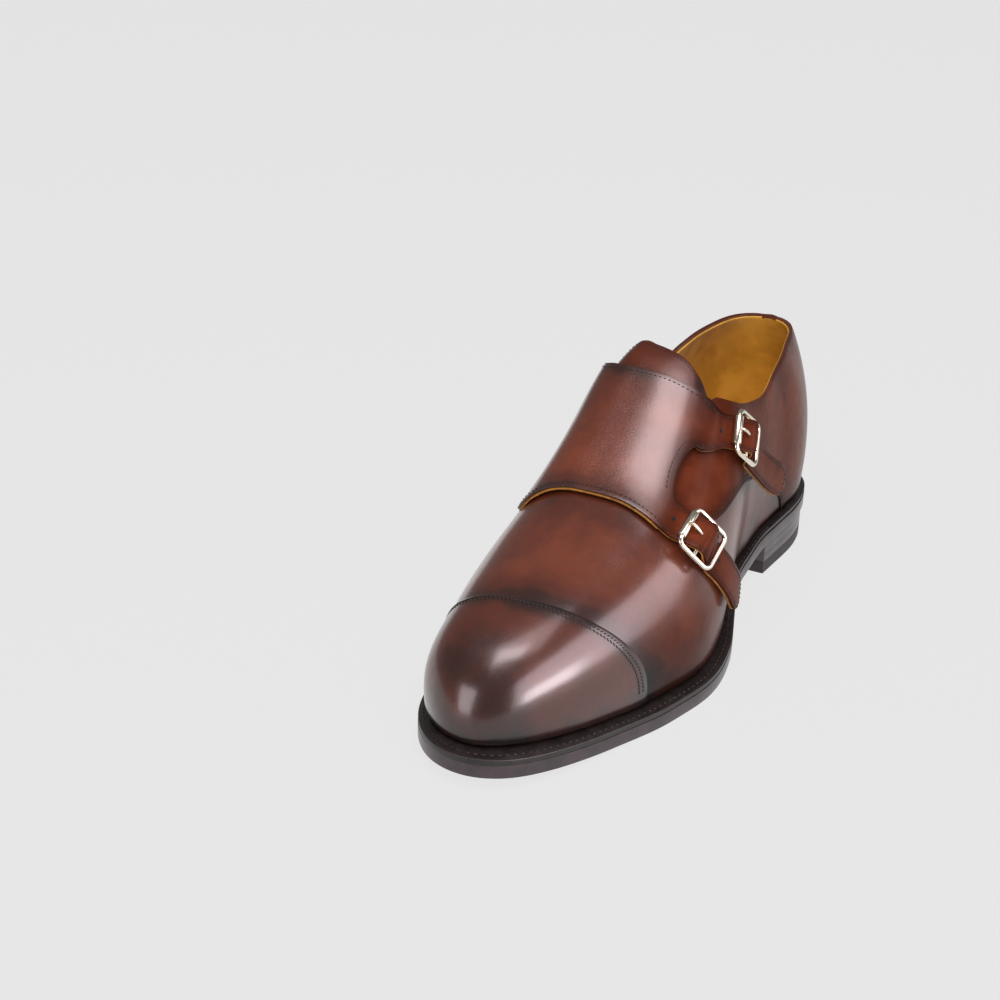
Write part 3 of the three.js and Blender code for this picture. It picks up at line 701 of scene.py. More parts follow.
NICKEL = plain_finish("polished_nickel", (0.90, 0.84, 0.70), (0.82, 0.76, 0.62), 0.14, 200, 900, 0.002,
                      metal=1.0)
# Near-black finish for the discs over the strap: painted shade inside the prong's holes.
HOLE_SHADE = plain_finish("hole_painted_shade", (0.006, 0.004, 0.003), (0.003, 0.002, 0.002), 0.95, 400)
KEEPER_LEATHER = plain_finish("keeper_leather", (0.020, 0.014, 0.012), (0.010, 0.007, 0.006), 0.5, 200)


# ------------ patches of the upper
def upper_patch(inner, lift, drop=0.0, foot=0.0):
    """One side of the upper, from foot degrees over the feather line to the topline, throat or ridge, where
    it may stay drop degrees lower."""

    def place(u, v):
        x = X0 + (X1 - X0) * (1 - np.cos(np.pi * u)) / 2
        top = top_angle(x, inner) - drop * (x < DROP_ENDS)
        crowd = 1 + 0.6 * ramp(x, 92, THROAT["x"][-1])
        half = foot + (top - foot) * (1 - (1 - v) ** crowd)
        return skin(x, 180 - half if inner else half, lift + tuck(x, half))

    return place


def cap_patch(u, v):
    """The toe cap, from its seam to the toe and over the ridge from side to side."""
    s = X0 + (X1 - X0) * (1 - np.cos(turn(CAP_AT) + (np.pi - turn(CAP_AT)) * u)) / 2
    w = np.abs(2 * v - 1)
    half = 90 * (1 - w**1.6)
    deg = np.where(v < 0.5, half, 180 - half)
    seam_dip = 0.2 * np.clip(1 - u / 0.02, 0, 1)
    return skin(cap_station(s, deg), deg, CAP_PROUD - seam_dip + tuck(s, half, 3.0, 1.6))


def by_row(values):
    """Curve through a quarter's rows, from 0 at the back seam to 1 at its front."""
    return steady(np.linspace(0, 1, len(values)), values)


OUTER_OF = {name: by_row(OUTER_QUARTER[name]) for name in OUTER_QUARTER}
INNER_OF = {name: by_row(INNER_QUARTER[name]) for name in ("front_x", "rear_x", "front_lift", "rear_lift")}
inner_front = by_row(evenly(INNER_QUARTER["front_deg"]))
inner_rear = by_row(evenly(INNER_QUARTER["rear_deg"]))


def outer_quarter_patch(u, v):
    """u runs forwards from the back seam, v from the lower and front edge up to the topline."""
    front_x = OUTER_OF["front_x"](u)
    rear_x = OUTER_OF["rear_x"](u)
    front = OUTER_OF["front_deg"](u)
    x = front_x + (rear_x - front_x) * v
    deg = front + (top_angle(rear_x, 0) - front) * v
    rolled = 0.15 * (v > 0.995)
    return skin(x, deg, OVERLAY + tuck(x, deg) - rolled)


def inner_quarter_patch(lift=0.0):
    """v is 0 on the rear edge and topline, 1 on the lower and front edge."""

    def place(u, v):
        front_x = INNER_OF["front_x"](u)
        rear_x = INNER_OF["rear_x"](u)
        on_topline = rear_x < THROAT["x"][0] + 1e-9
        rear = np.where(on_topline, evenly(180 - top_angle(rear_x, 1)), inner_rear(u))
        share = rear + (inner_front(u) - rear) * v
        x = rear_x + (front_x - rear_x) * v
        deg = angle_of(share)
        across = np.clip((v - UPPER_ROOT) / (LOWER_ROOT - UPPER_ROOT), 0, 1)
        dip = CUT_DEEP * np.sin(np.pi * across) ** 0.55
        near_cut = np.clip(1 - (deg - INNER_QUARTER["front_deg"][-1]) / CUT_REACH, 0, 1)
        deg = deg + dip * near_cut * (u > 0.7)
        off = INNER_OF["rear_lift"](u) + (INNER_OF["front_lift"](u) - INNER_OF["rear_lift"](u)) * v
        return skin(x, deg, off + lift + tuck(x, deg))

    return place


quarter_face = inner_quarter_patch()


def tongue_patch(u, v):
    """u down the tongue from its top edge, v from the outer to the inner edge."""
    share = evenly(TONGUE["deg"])[::-1]
    top_x = smooth(share, TONGUE["top_x"][::-1])
    front_x = smooth(share, TONGUE["front_x"][::-1])
    here = share[-1] + (share[0] - share[-1]) * v
    x = top_x(here) + (front_x(here) - top_x(here)) * u
    return skin(x, angle_of(here), np.full(np.shape(x), -UPPER_WALL - 0.2))


# ------------ straps
class Strap:
    """A strap's centre line on the last, measured along its length, with its arch through the buckle."""

    def __init__(self, name, rows, buckle_deg, first, last):
        at = np.arange(len(rows["x"]), dtype=float)
        count = 241
        q = np.linspace(0, len(at) - 1, count)
        x = smooth(at, rows["x"])(q)
        deg = smooth(at, rows["deg"])(q)
        self.points = skin(x, deg, np.zeros(len(q)))
        steps = np.linalg.norm(np.diff(self.points, axis=0), axis=1)
        self.run = np.concatenate([[0], np.cumsum(steps)])
        self.length = self.run[-1]
        here = np.arange(count)
        self.along = unit(self.points[np.minimum(here + 7, count - 1)] - self.points[np.maximum(here - 6, 0)])
        up = normal(turn(x), deg)
        self.up = unit(up - self.along * (up * self.along).sum(-1, keepdims=True))
        self.across = unit(np.cross(self.up, self.along))
        self.buckle = np.interp(-buckle_deg, -deg, self.run)
        self.first = first
        self.last = last
        self.cells = round((last - first) * FLAP_CELLS)
        self.arch = smooth(ARCH["s"], ARCH[name])
        self.rear = smooth(TAIL["back"], TAIL["rear"])
        self.front = smooth(TAIL["back"], TAIL["front"])

    def at(self, values, s):
        return read_along(self.run, values, s)

    def patch(self, lift=0.0, root=12.0, crown=0.35):
        """u runs from the flap to the tail's tip, v from the rear edge to the front edge. The strap carries
        on from the flap for its first root mm."""
        face = inner_quarter_patch(lift)

        def place(u, v):
            s = u * self.length
            from_tip = np.clip(self.length - s, 0, TAIL["back"][-1])
            rear = self.rear(from_tip)
            aside = (rear - (self.front(from_tip) + rear) * v) * STRAP_HALF
            high = self.arch(s - self.buckle) + STRAP_T + lift - crown * np.abs(2 * v - 1) ** 4
            strap = self.at(self.points, s) + self.at(self.across, s) * aside[:, None]
            strap = strap + self.at(self.up, s) * high[:, None]
            across = self.first + (self.last - self.first) * v
            edge = face(np.ones(len(u)), across)
            before = face(np.full(len(u), 0.992), across)
            start = edge + unit(edge - before) * s[:, None]
            w = ramp(s, 0, root)[:, None]
            return start * (1 - w) + strap * w

        return place

    def seat(self):
        """The buckle's place: +X along the strap to its tail, +Z away from the shoe."""
        basis = np.eye(4)
        for k, values in enumerate((self.along, self.across, self.up, self.points)):
            basis[:3, k] = self.at(values, np.array([self.buckle]))[0]
        basis[:3, 3] *= MM
        return Matrix(basis.tolist())


UPPER = Strap("upper", UPPER_STRAP, UPPER_BUCKLE_DEG, 0, UPPER_ROOT)
LOWER = Strap("lower", LOWER_STRAP, LOWER_BUCKLE_DEG, LOWER_ROOT, 1)
STRAPS = {"upper": UPPER, "lower": LOWER}


# ------------ lines for seams, burnishing and painted shade
def chart_line(x, deg):
    """A line drawn on the last's own surface."""
    return skin(np.asarray(x, float), np.asarray(deg, float), np.zeros(len(x)))


BEHIND_THROAT = np.linspace(X0, THROAT["x"][0], 90)
ROUND = np.linspace(0, 180, 121)
ALONG = np.linspace(0, 1, 161)
CAP_LINE = chart_line(cap_seam(ROUND), ROUND)
# Darkening laid along the feather line is painted shade in the crease above the welt.
FEATHER_LINE = np.concatenate([chart_line(np.linspace(X0, X1, 200), np.full(200, deg)) for deg in (0, 180)])
TOP_LINE = np.concatenate([
    chart_line(BEHIND_THROAT, top_angle(BEHIND_THROAT, 0)),
    chart_line(BEHIND_THROAT, 180 - top_angle(BEHIND_THROAT, 1)),
])
OUTER_SEAM = outer_quarter_patch(np.linspace(0.2, 1, 121), np.zeros(121))
FLAP_FRONT = quarter_face(np.linspace(0.2, 1, 161), np.ones(161))
FLAP_REAR = quarter_face(np.linspace(0.6, 1, 81), np.zeros(81))
CUT_EDGE = quarter_face(np.ones(41), np.linspace(UPPER_ROOT, LOWER_ROOT, 41))
TOE_TIP = chart_line([X1], [90])
HEEL_FOOT = chart_line(np.linspace(X0, 10, 30), np.zeros(30))


# ------------ the upper's pieces
def vamp_gloss(x, y, z):
    """Waxed hard at the toe and over the top, left duller low down on the outer side and in the waist."""
    low = ramp(y, 22, 40) * (1 - ramp(z, 34, 58))
    behind_toe = 1 - ramp(x, 190, CAP_AT)
    waist = 1 - ramp(x, 95, INSTEP_X)
    outer_side = ramp(y, 5, 20)
    return (1 - 0.66 * waist * outer_side) * (1 - 0.8 * low * behind_toe)


def quarter_gloss(x, y, z):
    """Almost dull on the outer side, with some polish at the back and on the inner side."""
    back = 1 - ramp(x, -20, 30)
    inner_side = ramp(-y, 0, 20)
    return 0.05 + 0.25 * back + 0.4 * inner_side


def flap_gloss(x, y, z):
    """The flap shines over the instep, and the straps and tails stay dull."""
    over_top = 1 - ramp(y, 12, 27)
    forward = ramp(x, 60, 100)
    return 0.06 + over_top * (0.16 + 0.78 * forward)


def even_gloss(share):
    """The same polish all over."""
    return lambda x, y, z: np.full(len(x), share)


def vamp():
    """The upper's body: the vamp in front, and the leather that the quarters are laid on behind."""
    sides = [(200, 44, upper_patch(inner, 0.0)) for inner in (0, 1)]
    piece = sheet("vamp", CALF, "upper_leather", *sides)
    thicken(piece, UPPER_WALL - LINING_T - 0.05)
    # Rubbed dark at the seams; the darkening along the feather line is painted shade in the crease above the
    # welt, fading up the lower vamp.
    burnish_and_shade(piece, (CAP_LINE, 8, 0.5), (FLAP_FRONT, 11, 0.35), (FEATHER_LINE, 17, 0.5), (OUTER_SEAM, 4, 0.45),
            (TOP_LINE, 3, 0.1), (CUT_EDGE, 4, 0.3))
    polish(piece, vamp_gloss)
    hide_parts("upper")
    return piece


def lining():
    """The soft lining inside, a little lower than the topline."""
    lift = LINING_T - UPPER_WALL
    sides = [(150, 30, upper_patch(inner, lift, LINING_DROP, LINING_FOOT_DEG)) for inner in (0, 1)]
    piece = sheet("lining", LINING, "lining_leather", *sides)
    return thicken(piece, LINING_T, edge=0.25)


def toe_cap():
    piece = sheet("toe_cap_leather", CALF, "upper_leather", (64, 96, cap_patch))
    thicken(piece, CAP_T, edge=0.3)
    # Rubbed dark at the seam and toe; the darkening along the feather line is painted shade in the crease
    # above the welt.
    burnish_and_shade(piece, (CAP_LINE, 6, 0.6), (FEATHER_LINE, 7, 0.5), (TOE_TIP, 55, 0.45))
    polish(piece, even_gloss(1.0))
    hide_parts("toe_cap")
    return piece


def outer_quarter():
    piece = sheet("outer_quarter", CALF, "upper_leather", (150, FLAP_CELLS, outer_quarter_patch))
    thicken(piece, OVERLAY_T, edge=0.3)
    polish(piece, quarter_gloss)
    # Rubbed dark at seams and heel; the darkening along the feather line is painted shade in the crease above
    # the welt.
    return burnish_and_shade(piece, (OUTER_SEAM, 5, 0.45), (TOP_LINE, 3, 0.1), (HEEL_FOOT, 10, 0.25),
                   (CUT_EDGE, 4, 0.3), (FEATHER_LINE, 5, 0.4))


def inner_quarter():
    """Inner quarter, flap and both straps, cut as one piece of leather."""
    straps = [(60, strap.cells, strap.patch()) for strap in STRAPS.values()]
    piece = sheet("inner_quarter_and_straps", CALF, "upper_leather", (180, FLAP_CELLS, quarter_face), *straps)
    thicken(piece, OVERLAY_T, edge=0.4)
    strap_edges = [place(ALONG, np.full(len(ALONG), edge)) for _, _, place in straps for edge in (0.0, 1.0)]
    polish(piece, flap_gloss)
    # Rubbed dark at the edges; the darkening along the feather line is painted shade in the crease above the
    # welt.
    burnish_and_shade(piece, (FLAP_FRONT, 7, 0.45), (FLAP_REAR, 7, 0.45), (CUT_EDGE, 6, 0.35), (TOP_LINE, 3, 0.1),
            (FEATHER_LINE, 5, 0.4), *[(edge, 2.2, 0.25) for edge in strap_edges])
    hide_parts("strap_flap")
    return piece


def flap_lining():
    """The lining under flap and straps, which shows as a mustard line along their edges."""
    lift = -OVERLAY_T - 0.05
    face = inner_quarter_patch(lift)

    def flap(u, v):
        return face(0.62 + 0.38 * u, v * 1.012)

    def wider(place):
        return lambda u, v: place(u, v + 0.035 * (v - 0.25) * (u > 0.3))

    straps = [(60, strap.cells, wider(strap.patch(lift))) for strap in STRAPS.values()]
    piece = sheet("flap_lining", RAW_EDGE, "lining_leather", (70, FLAP_CELLS, flap), *straps)
    return thicken(piece, FLAP_LINING_T, edge=0.2)


def tongue():
    piece = sheet("tongue_leather", [CALF, LINING], "upper_leather", (50, 56, tongue_patch))
    thicken(piece, TONGUE_T - 0.2, inner_material=1, edge=0.45)
    edge = tongue_patch(np.zeros(60), np.linspace(0, 1, 60))
    burnish_and_shade(piece, (edge, 6, 0.4), (FLAP_REAR, 6, 0.5))
    polish(piece, even_gloss(0.5))
    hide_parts("tongue")
    return piece


def back_strip():
    """The narrow strip over the back seam, turned over the topline."""
    top = float(top_angle(np.array([X0]), 0)[0])
    foot = 12
    fold_share = 0.06

    def place(u, v):
        side = 2 * v - 1
        t = np.abs(side) * STRIP_HALF_TURN
        down = np.clip(u - fold_share, 0, 1) / (1 - fold_share)
        over = np.clip(fold_share - u, 0, 1) / fold_share
        deg = top - (top - foot) * down
        deg = np.where(side < 0, 180 - deg, deg)
        lift = OVERLAY + STRIP_PROUD - 0.25 * np.abs(side) ** 3 - 3.4 * over
        point = surface(t, deg) + normal(t, deg) * lift[:, None]
        point[:, 2] += 0.6 * np.sin(np.pi * over * 0.9)
        return point

    piece = sheet("back_strip", CALF, "upper_leather", (60, 12, place))
    thicken(piece, STRIP_T, edge=0.2)
    polish(piece, quarter_gloss)
    return burnish_and_shade(piece, (TOP_LINE, 6, 0.15), (HEEL_FOOT, 10, 0.6))


# ------------ stitching
def patch_row(bm, place, u, edge, inset):
    """A row inside one edge of a patch."""
    points, normals = run_of(place, u, inset_share(place, u, edge, inset))
    stitch_row(bm, points, normals)


def upper_stitches():
    bm = bmesh.new()
    # Toe cap: two rows close together, slanted against each other like a braid.
    cap_long = 62
    for inset, slant in ((1.2, 0.42), (2.3, -0.42)):
        v = np.linspace(0.03, 0.97, 160)
        points, normals = run_of(cap_patch, inset / cap_long, v)
        stitch_row(bm, points, normals, pitch=1.75, length=1.7, width=0.62, slant=slant)
    # Seams of the quarters.
    for inset in (1.3, 3.0):
        patch_row(bm, outer_quarter_patch, np.linspace(0.225, 0.93, 150), 0, inset)
        patch_row(bm, quarter_face, np.linspace(0.18, 0.62, 150), 1, inset)
    # Flap: its front and rear edges.
    patch_row(bm, quarter_face, np.linspace(0.62, 0.999, 120), 1, 2.1)
    patch_row(bm, quarter_face, np.linspace(0.56, 0.999, 120), 0, 2.0)
    # Straps: both edges and round the tail.
    for strap in STRAPS.values():
        place = strap.patch()
        out = np.linspace(0.01, 0.965, 90)
        inset = 1.6 / (2 * STRAP_HALF)
        u = np.concatenate([out, np.full(9, 0.967), out[::-1]])
        v = np.concatenate([np.full(90, inset), np.linspace(0.25, 0.75, 9), np.full(90, 1 - inset)])
        points, normals = run_of(place, u, v)
        stitch_row(bm, points, normals)
    # Cut-out between the straps.
    v = np.linspace(UPPER_ROOT + 0.012, LOWER_ROOT - 0.012, 60)
    points, normals = run_of(quarter_face, np.full(60, 0.982), v)
    stitch_row(bm, points, normals)
    # Tongue: one row inside its top edge.
    v = np.linspace(0.03, 0.97, 110)
    tongue_long = 55
    u = 1.6 / tongue_long + 0.05 * np.abs(2 * v - 1) ** 8
    points, normals = run_of(tongue_patch, u, v)
    stitch_row(bm, points, normals, pitch=2.0, length=1.4, width=0.42)
    # The bar-tack that holds the flap's front edge.
    for step in (0.0, 1.1):
        u = np.linspace(0.628, 0.646, 8)
        points, normals = run_of(quarter_face, u, np.full(8, 0.955 + 0.012 * step))
        stitch_row(bm, points, normals, pitch=1.1, length=1.0, width=0.45)
    return finish(bm, "upper_stitches", THREAD, "upper_leather")


# ------------ sole and heel
def plate(name, low, high, outer, inner, x0, x1, material, slot, node, edge, stations=150, breast=False):
    """A plate between two outlines, from its underside to its top, cut straight across at a heel's breast."""
    arc = np.pi / 2 if breast else np.pi

    def place(u, v):
        x = x0 + (x1 - x0) * (1 - np.cos(arc * u)) / (1 - math.cos(arc))
        a = outer(x)
        return np.stack([x, a + (inner(x) - a) * v, high(x)], -1)

    bm = bmesh.new()
    add_patch(bm, stations, 10, place)
    weld(bm)
    face_up(bm)
    lower = bmesh.ops.extrude_face_region(bm, geom=bm.faces[:], use_keep_orig=True)["geom"]
    for v in kind(lower, bmesh.types.BMVert):
        v.co.z = float(low(np.array([v.co.x / MM]))[0]) * MM
    bmesh.ops.recalc_face_normals(bm, faces=bm.faces)
    piece = finish(bm, name, material, slot)
    round_edges(piece, edge)
    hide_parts(node)
    return piece


def sole_side(name):
    return lambda x: SOLE_CURVE[name](turn(x, SOLE0, SOLE1))


def heel_side(name):
    return lambda x: HEEL_INSET * SOLE_CURVE[name](turn(np.where(x < 0, x / HEEL_INSET, x), SOLE0, SOLE1))


def over_ground(rise):
    """A height that follows the sole's underside."""
    return lambda x: under(x) + rise


def flat(z):
    return lambda x: np.full(np.shape(x), float(z))


def outsole():
    piece = plate("outsole_leather", under, over_ground(OUTSOLE_T + 0.1), sole_side("outer"),
                  sole_side("inner"), SOLE0, SOLE1, [SOLE_EDGE, SOLE_LEATHER], "sole_leather", "outsole", 0.7)
    for face in piece.data.polygons:
        if face.normal.z < -0.9:
            face.material_index = 1
    return piece


def heel():
    """Two lifts of leather under the sole, and the rubber top piece under them."""
    sides = (heel_side("outer"), heel_side("inner"), SOLE0 * HEEL_INSET, HEEL_BREAST)
    middle = (TOP_PIECE_T + UNDERSIDE["z"][1]) / 2
    lifts = ((flat(TOP_PIECE_T + 0.05), flat(middle)), (flat(middle + 0.02), over_ground(-0.05)))
    for k, (low, high) in enumerate(lifts):
        plate(f"heel_lift_{k + 1}", low, high, *sides, SOLE_EDGE, "sole_leather", "heel_stack", 0.12, 90,
              True)
    plate("heel_top_piece_rubber", flat(0), flat(TOP_PIECE_T), *sides, TOP_PIECE, "top_piece_rubber",
          "heel_top_piece", 0.35, 90, True)


def ring_points(count):
    """Outline of the sole and, matched to it, the feather line moved in under the upper."""
    a = np.linspace(0, 2 * np.pi, count)
    x = SOLE0 + (SOLE1 - SOLE0) * (1 - np.cos(a)) / 2
    outer = a <= np.pi
    y = np.where(outer, sole_side("outer")(x), sole_side("inner")(x))
    t = np.where(outer, a, 2 * np.pi - a)
    inside = surface(t, np.where(outer, 0.0, 180.0))
    return np.stack([x, y], -1), inside[:, :2]


def welt():
    """A strip round the upper, flush with the sole's edge, its top sloped a little and stitched."""
    count = 321
    out, feather_line = ring_points(count)
    centre = np.array([110.0, -3.0])
    inner_ring = feather_line + unit(centre - feather_line) * WELT_UNDER_UPPER

    def place(u, v):
        at = u * (count - 1)
        i = np.arange(count)
        o = np.stack([np.interp(at, i, out[:, k]) for k in (0, 1)], -1)
        n = np.stack([np.interp(at, i, inner_ring[:, k]) for k in (0, 1)], -1)
        p = o + (n - o) * v[:, None]
        z = under(p[:, 0]) + OUTSOLE_T + GAP + WELT_T - WELT_SLOPE * (1 - v) ** 2
        return np.column_stack([p, z])

    bm = bmesh.new()
    add_patch(bm, count - 1, 6, place)
    weld(bm)
    face_up(bm)
    piece = finish(bm, "welt_strip", WELT_TOP, "sole_leather")
    thicken(piece, WELT_T + 0.1, edge=0.35)
    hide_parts("welt")
    stitches = bmesh.new()
    u = np.linspace(0.0, 1.0, 320)
    points = place(u, np.full(len(u), WELT_SEAM_SHARE))
    front = points[:, 0] > HEEL_BREAST - 4
    for side in (u < 0.5, u >= 0.5):
        line = points[front & side]
        up = np.tile([0.0, 0, 1], (len(line), 1))
        stitch_row(stitches, line, up, pitch=3.1, length=2.3, width=0.75, sink=0.05)
    finish(stitches, "welt_stitches", THREAD, "sole_leather")
    return piece


def insole():
    """The sock over the insole, kept clear of where the upper turns in above the welt."""

    def side(deg, inwards):
        def y(x):
            return surface(turn(x), flat(deg)(x))[..., 1] + inwards * SOCK_INSET * np.sin(turn(x)) ** 0.5

        return y

    return plate("insole_sock", feather, over_ground(FEATHER_UP + INSOLE_T), side(0, -1), side(180, 1),
                 X0 + SOCK_INSET, X1 - SOCK_INSET, LINING, "lining_leather", "insole", 0.5, 100)


# ------------ buckles
def rod(bm, segments, radius, depth, place):
    bmesh.ops.create_cone(bm, cap_ends=True, segments=segments, radius1=radius, radius2=radius, depth=depth,
                          matrix=place)


def set_on(bm, seat):
    """Takes a part of the buckle from its own millimetres to its place on the shoe."""
    bmesh.ops.scale(bm, vec=(MM, MM, MM), verts=bm.verts)
    bmesh.ops.transform(bm, matrix=seat, verts=bm.verts)


def buckle_frame(name, seat):
    """A wire bent round a rounded rectangle, with a bar across its middle."""
    bm = bmesh.new()
    a = BUCKLE_LONG / 2 - BUCKLE_CORNER
    b = BUCKLE_WIDE / 2 - BUCKLE_CORNER
    start = Matrix.Translation((a + BUCKLE_CORNER, -b, BUCKLE_LIFT)) @ Matrix.Rotation(math.pi / 2, 4, "X")
    made = bmesh.ops.create_circle(bm, segments=16, radius=WIRE_R, matrix=start)
    ring = list({e for v in made["verts"] for e in v.link_edges})
    turns = [(0, 1, 2 * b, (a, b)), (-1, 0, 2 * a, (-a, b)), (0, -1, 2 * b, (-a, -b)), (1, 0, 2 * a, (a, -b))]
    for dx, dy, length, (cx, cy) in turns:
        verts, ring = extruded(bm, ring)
        bmesh.ops.translate(bm, vec=(dx * length, dy * length, 0), verts=verts)
        corner = bmesh.ops.spin(bm, geom=ring, cent=(cx, cy, BUCKLE_LIFT), axis=(0, 0, 1), dvec=(0, 0, 0),
                                angle=math.pi / 2, steps=7, use_merge=False)["geom_last"]
        ring = kind(corner, bmesh.types.BMEdge)
    bmesh.ops.remove_doubles(bm, verts=bm.verts, dist=0.02)
    bar = Matrix.Translation((0, 0, BUCKLE_LIFT)) @ Matrix.Rotation(math.pi / 2, 4, "X")
    rod(bm, 16, BAR_R, BUCKLE_WIDE, bar)
    bmesh.ops.recalc_face_normals(bm, faces=bm.faces)
    set_on(bm, seat)
    piece = finish(bm, f"{name}_buckle", NICKEL, "buckle_nickel")
    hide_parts(f"{name}_buckle_frame")


def roller(name, seat):
    bm = bmesh.new()
    place = Matrix.Translation((-BUCKLE_LONG / 2, 0, BUCKLE_LIFT)) @ Matrix.Rotation(math.pi / 2, 4, "X")
    rod(bm, 28, ROLLER_R, ROLLER_LONG, place)
    rims = [e for e in bm.edges if sum(len(f.verts) > 4 for f in e.link_faces) == 1]
    bmesh.ops.bevel(bm, geom=rims, offset=0.45, segments=3, profile=0.5, affect="EDGES", material=-1)
    set_on(bm, seat)
    piece = finish(bm, f"{name}_roller", NICKEL, "buckle_nickel")
    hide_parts(f"{name}_buckle_roller")


# The prong's line from the bar to the roller: place along the strap, height over the centre bar, radius.
PRONG = columns("x z r", [(0.6, 0.9, 0.95), (-1.5, 1.7, 0.95), (-4, 2.45, 0.9), (-7, 2.85, 0.8),
                          (-9.3, 2.75, 0.7), (-10.4, 2.3, 0.5), (-10.8, 1.9, 0.2)])


def prong(name, seat):
    bm = bmesh.new()
    x = PRONG["x"]
    z = PRONG["z"] + BUCKLE_LIFT
    r = PRONG["r"]
    first = Matrix.Translation((x[0], 0, z[0])) @ Matrix.Rotation(math.pi / 2, 4, "Y")
    made = bmesh.ops.create_circle(bm, cap_ends=True, segments=12, radius=r[0], matrix=first)
    ring = list({e for v in made["verts"] for e in v.link_edges})
    for k in range(1, len(x)):
        verts, ring = extruded(bm, ring)
        bmesh.ops.translate(bm, vec=(x[k] - x[k - 1], 0, z[k] - z[k - 1]), verts=verts)
        share = r[k] / r[k - 1]
        bmesh.ops.scale(bm, vec=(1, share, share), space=Matrix.Translation((-x[k], 0, -z[k])), verts=verts)
    bmesh.ops.holes_fill(bm, edges=ring, sides=12)
    bmesh.ops.recalc_face_normals(bm, faces=bm.faces)
    set_on(bm, seat)
    piece = finish(bm, f"{name}_prong", NICKEL, "buckle_nickel")
    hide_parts(f"{name}_buckle_prong")


# The keeper's line: a tab on the quarter, up round the centre bar and back.
KEEPER = columns("x z", [(-8.5, 0.75), (-3.5, 0.8), (-1.6, 1.6), (-1.5, 5.0), (-0.9, 7.1), (0.6, 7.5),
                         (1.6, 6.4), (1.7, 4.5), (1.2, 1.6)])


def keeper(name, seat):
    along = np.linspace(0, 1, len(KEEPER["x"]))
    line_x = smooth(along, KEEPER["x"])
    line_z = smooth(along, KEEPER["z"])
    bm = bmesh.new()
    add_patch(bm, 40, 6, lambda u, v: np.stack([line_x(u), KEEPER_WIDE * (v - 0.5), line_z(u)], -1))
    bmesh.ops.transform(bm, matrix=seat, verts=bm.verts)
    piece = finish(bm, f"{name}_keeper", KEEPER_LEATHER, "keeper_leather")
    wall = piece.modifiers.new("thickness", "SOLIDIFY")
    wall.thickness = KEEPER_T * MM
    wall.offset = 0
    round_edges(piece, 0.25)
    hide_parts(f"{name}_buckle_keeper")


def strap_hole_shade():
    """The prong's holes on each side of the arch, drawn as flat near-black discs: painted shade where the
    holes are punched.
    """
    bm = bmesh.new()
    for strap in STRAPS.values():
        place = strap.patch()
        for offset in HOLES_AT:
            u = np.array([(strap.buckle + offset) / strap.length])
            point, up = run_of(place, u, np.array([0.5]))
            turned = Vector(up[0]).to_track_quat("Z", "Y").to_matrix().to_4x4()
            spot = Matrix.Translation(Vector(point[0] + up[0] * 0.06) * MM) @ turned
            bmesh.ops.create_circle(bm, cap_ends=True, segments=14, radius=HOLE_R * MM, matrix=spot)
    return finish(bm, "strap_hole_shade", HOLE_SHADE, "upper_leather")


# ------------ studio
CAMERA_AZ = math.radians(26.74)
CAMERA_EL = math.radians(24.89)
CAMERA_ROLL = math.radians(1.71)
CAMERA_DISTANCE = 0.6881
CAMERA_AIM = Vector((0.2564, 0, 0.1184))
LENS = 69.73


def toward(az, el):
    return Vector((math.cos(az) * math.cos(el), math.sin(az) * math.cos(el), math.sin(el)))


def camera():
    back = toward(CAMERA_AZ, CAMERA_EL)
    right = (-back).cross(Vector((0, 0, 1))).normalized()
    up = right.cross(-back)
    cos = math.cos(CAMERA_ROLL)
    sin = math.sin(CAMERA_ROLL)
    turned = Matrix((cos * right + sin * up, cos * up - sin * right, back)).transposed().to_4x4()
    data = bpy.data.cameras.new("camera")
    data.lens = LENS
    data.sensor_width = 36
    data.clip_start = 0.01
    made = add_object("camera", data)
    made.matrix_world = Matrix.Translation(CAMERA_AIM + back * CAMERA_DISTANCE) @ turned
    bpy.context.scene.camera = made


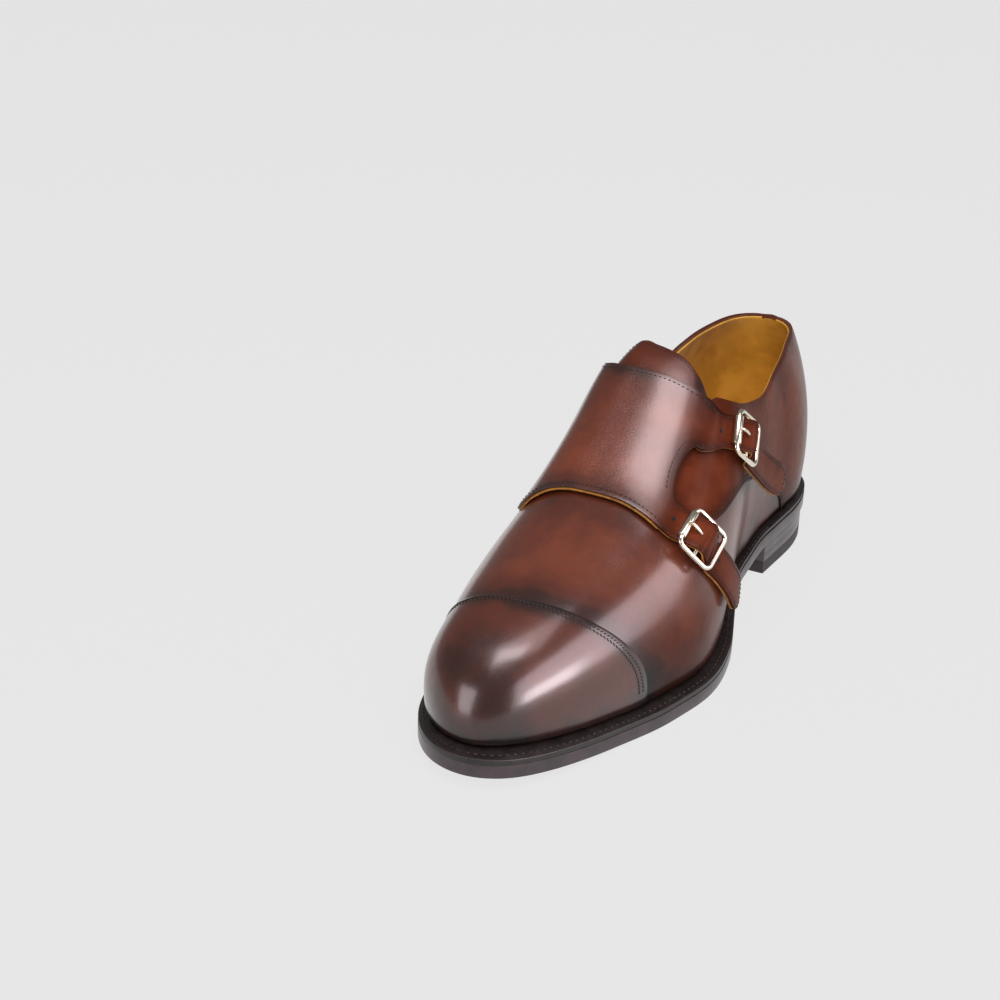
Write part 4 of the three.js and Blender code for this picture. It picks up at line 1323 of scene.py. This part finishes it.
# Soft boxes round the shoe: azimuth, elevation, distance, width, height, radiance, tint, and whether each
# lights the matt part of the finishes or shows in their gloss.
SOFT_BOXES = [
    ("sky", 26, 60, 1.6, 1.7, 1.7, 3.3, (1.0, 0.97, 0.95), "matt"),
    ("outer_wall", 83, 20, 1.5, 1.75, 1.0, 4.2, (1.0, 0.84, 0.89), "gloss"),
    ("outer_core", 77, 8, 1.45, 0.85, 0.34, 9.5, (1.0, 0.90, 0.95), "gloss"),
    ("overhead", 32, 76, 1.5, 1.3, 0.6, 2.9, (1.0, 0.82, 0.84), "gloss"),
    ("over_toe", 14, 72, 1.45, 0.8, 0.3, 6.0, (1.0, 0.84, 0.86), "gloss"),
    ("inner_strip", -24, 14, 1.5, 0.36, 0.75, 4.5, (1.0, 0.90, 0.94), "gloss"),
]
MIDDLE = Vector((0.14, 0, 0.05))


def soft_boxes():
    for name, az, el, distance, wide, tall, radiance, tint, looks in SOFT_BOXES:
        direction = toward(math.radians(az), math.radians(el))
        data = bpy.data.lights.new(name, "AREA")
        data.shape = "RECTANGLE"
        data.size = wide
        data.size_y = tall
        data.energy = radiance * math.pi * wide * tall
        data.color = tint
        made = add_object(name, data)
        facing = direction.to_track_quat("Z", "Y").to_matrix().to_4x4()
        made.matrix_world = Matrix.Translation(MIDDLE + direction * distance) @ facing
        made.visible_camera = False
        made.visible_glossy = looks == "gloss"
        made.visible_diffuse = looks == "matt"


def floor_and_air():
    bm = bmesh.new()
    bmesh.ops.create_circle(bm, cap_ends=True, segments=64, radius=9)
    mesh = bpy.data.meshes.new("floor")
    bm.to_mesh(mesh)
    bm.free()
    made = add_object("floor", mesh)
    material, _, _, shader = nodes_of("pale_floor")
    settle(shader, {"Base Color": (0.05, 0.05, 0.05, 1), "Roughness": 0.9, "Specular IOR Level": 0.0,
                    "Emission Color": (1, 1, 1, 1), "Emission Strength": 0.75})
    mesh.materials.append(material)
    air = bpy.data.worlds.new("air")
    bpy.context.scene.world = air
    air.use_nodes = True
    settle(air.node_tree.nodes["Background"], {"Color": (0.79, 0.79, 0.79, 1), "Strength": 0.25})
    bpy.context.scene.view_settings.view_transform = "Standard"


camera()
soft_boxes()
floor_and_air()
vamp()
lining()
toe_cap()
outer_quarter()
inner_quarter()
flap_lining()
tongue()
back_strip()
upper_stitches()
outsole()
heel()
welt()
insole()
strap_hole_shade()
for strap_name, strap_line in STRAPS.items():
    place_of = strap_line.seat()
    buckle_frame(strap_name, place_of)
    roller(strap_name, place_of)
    prong(strap_name, place_of)
    keeper(strap_name, place_of)
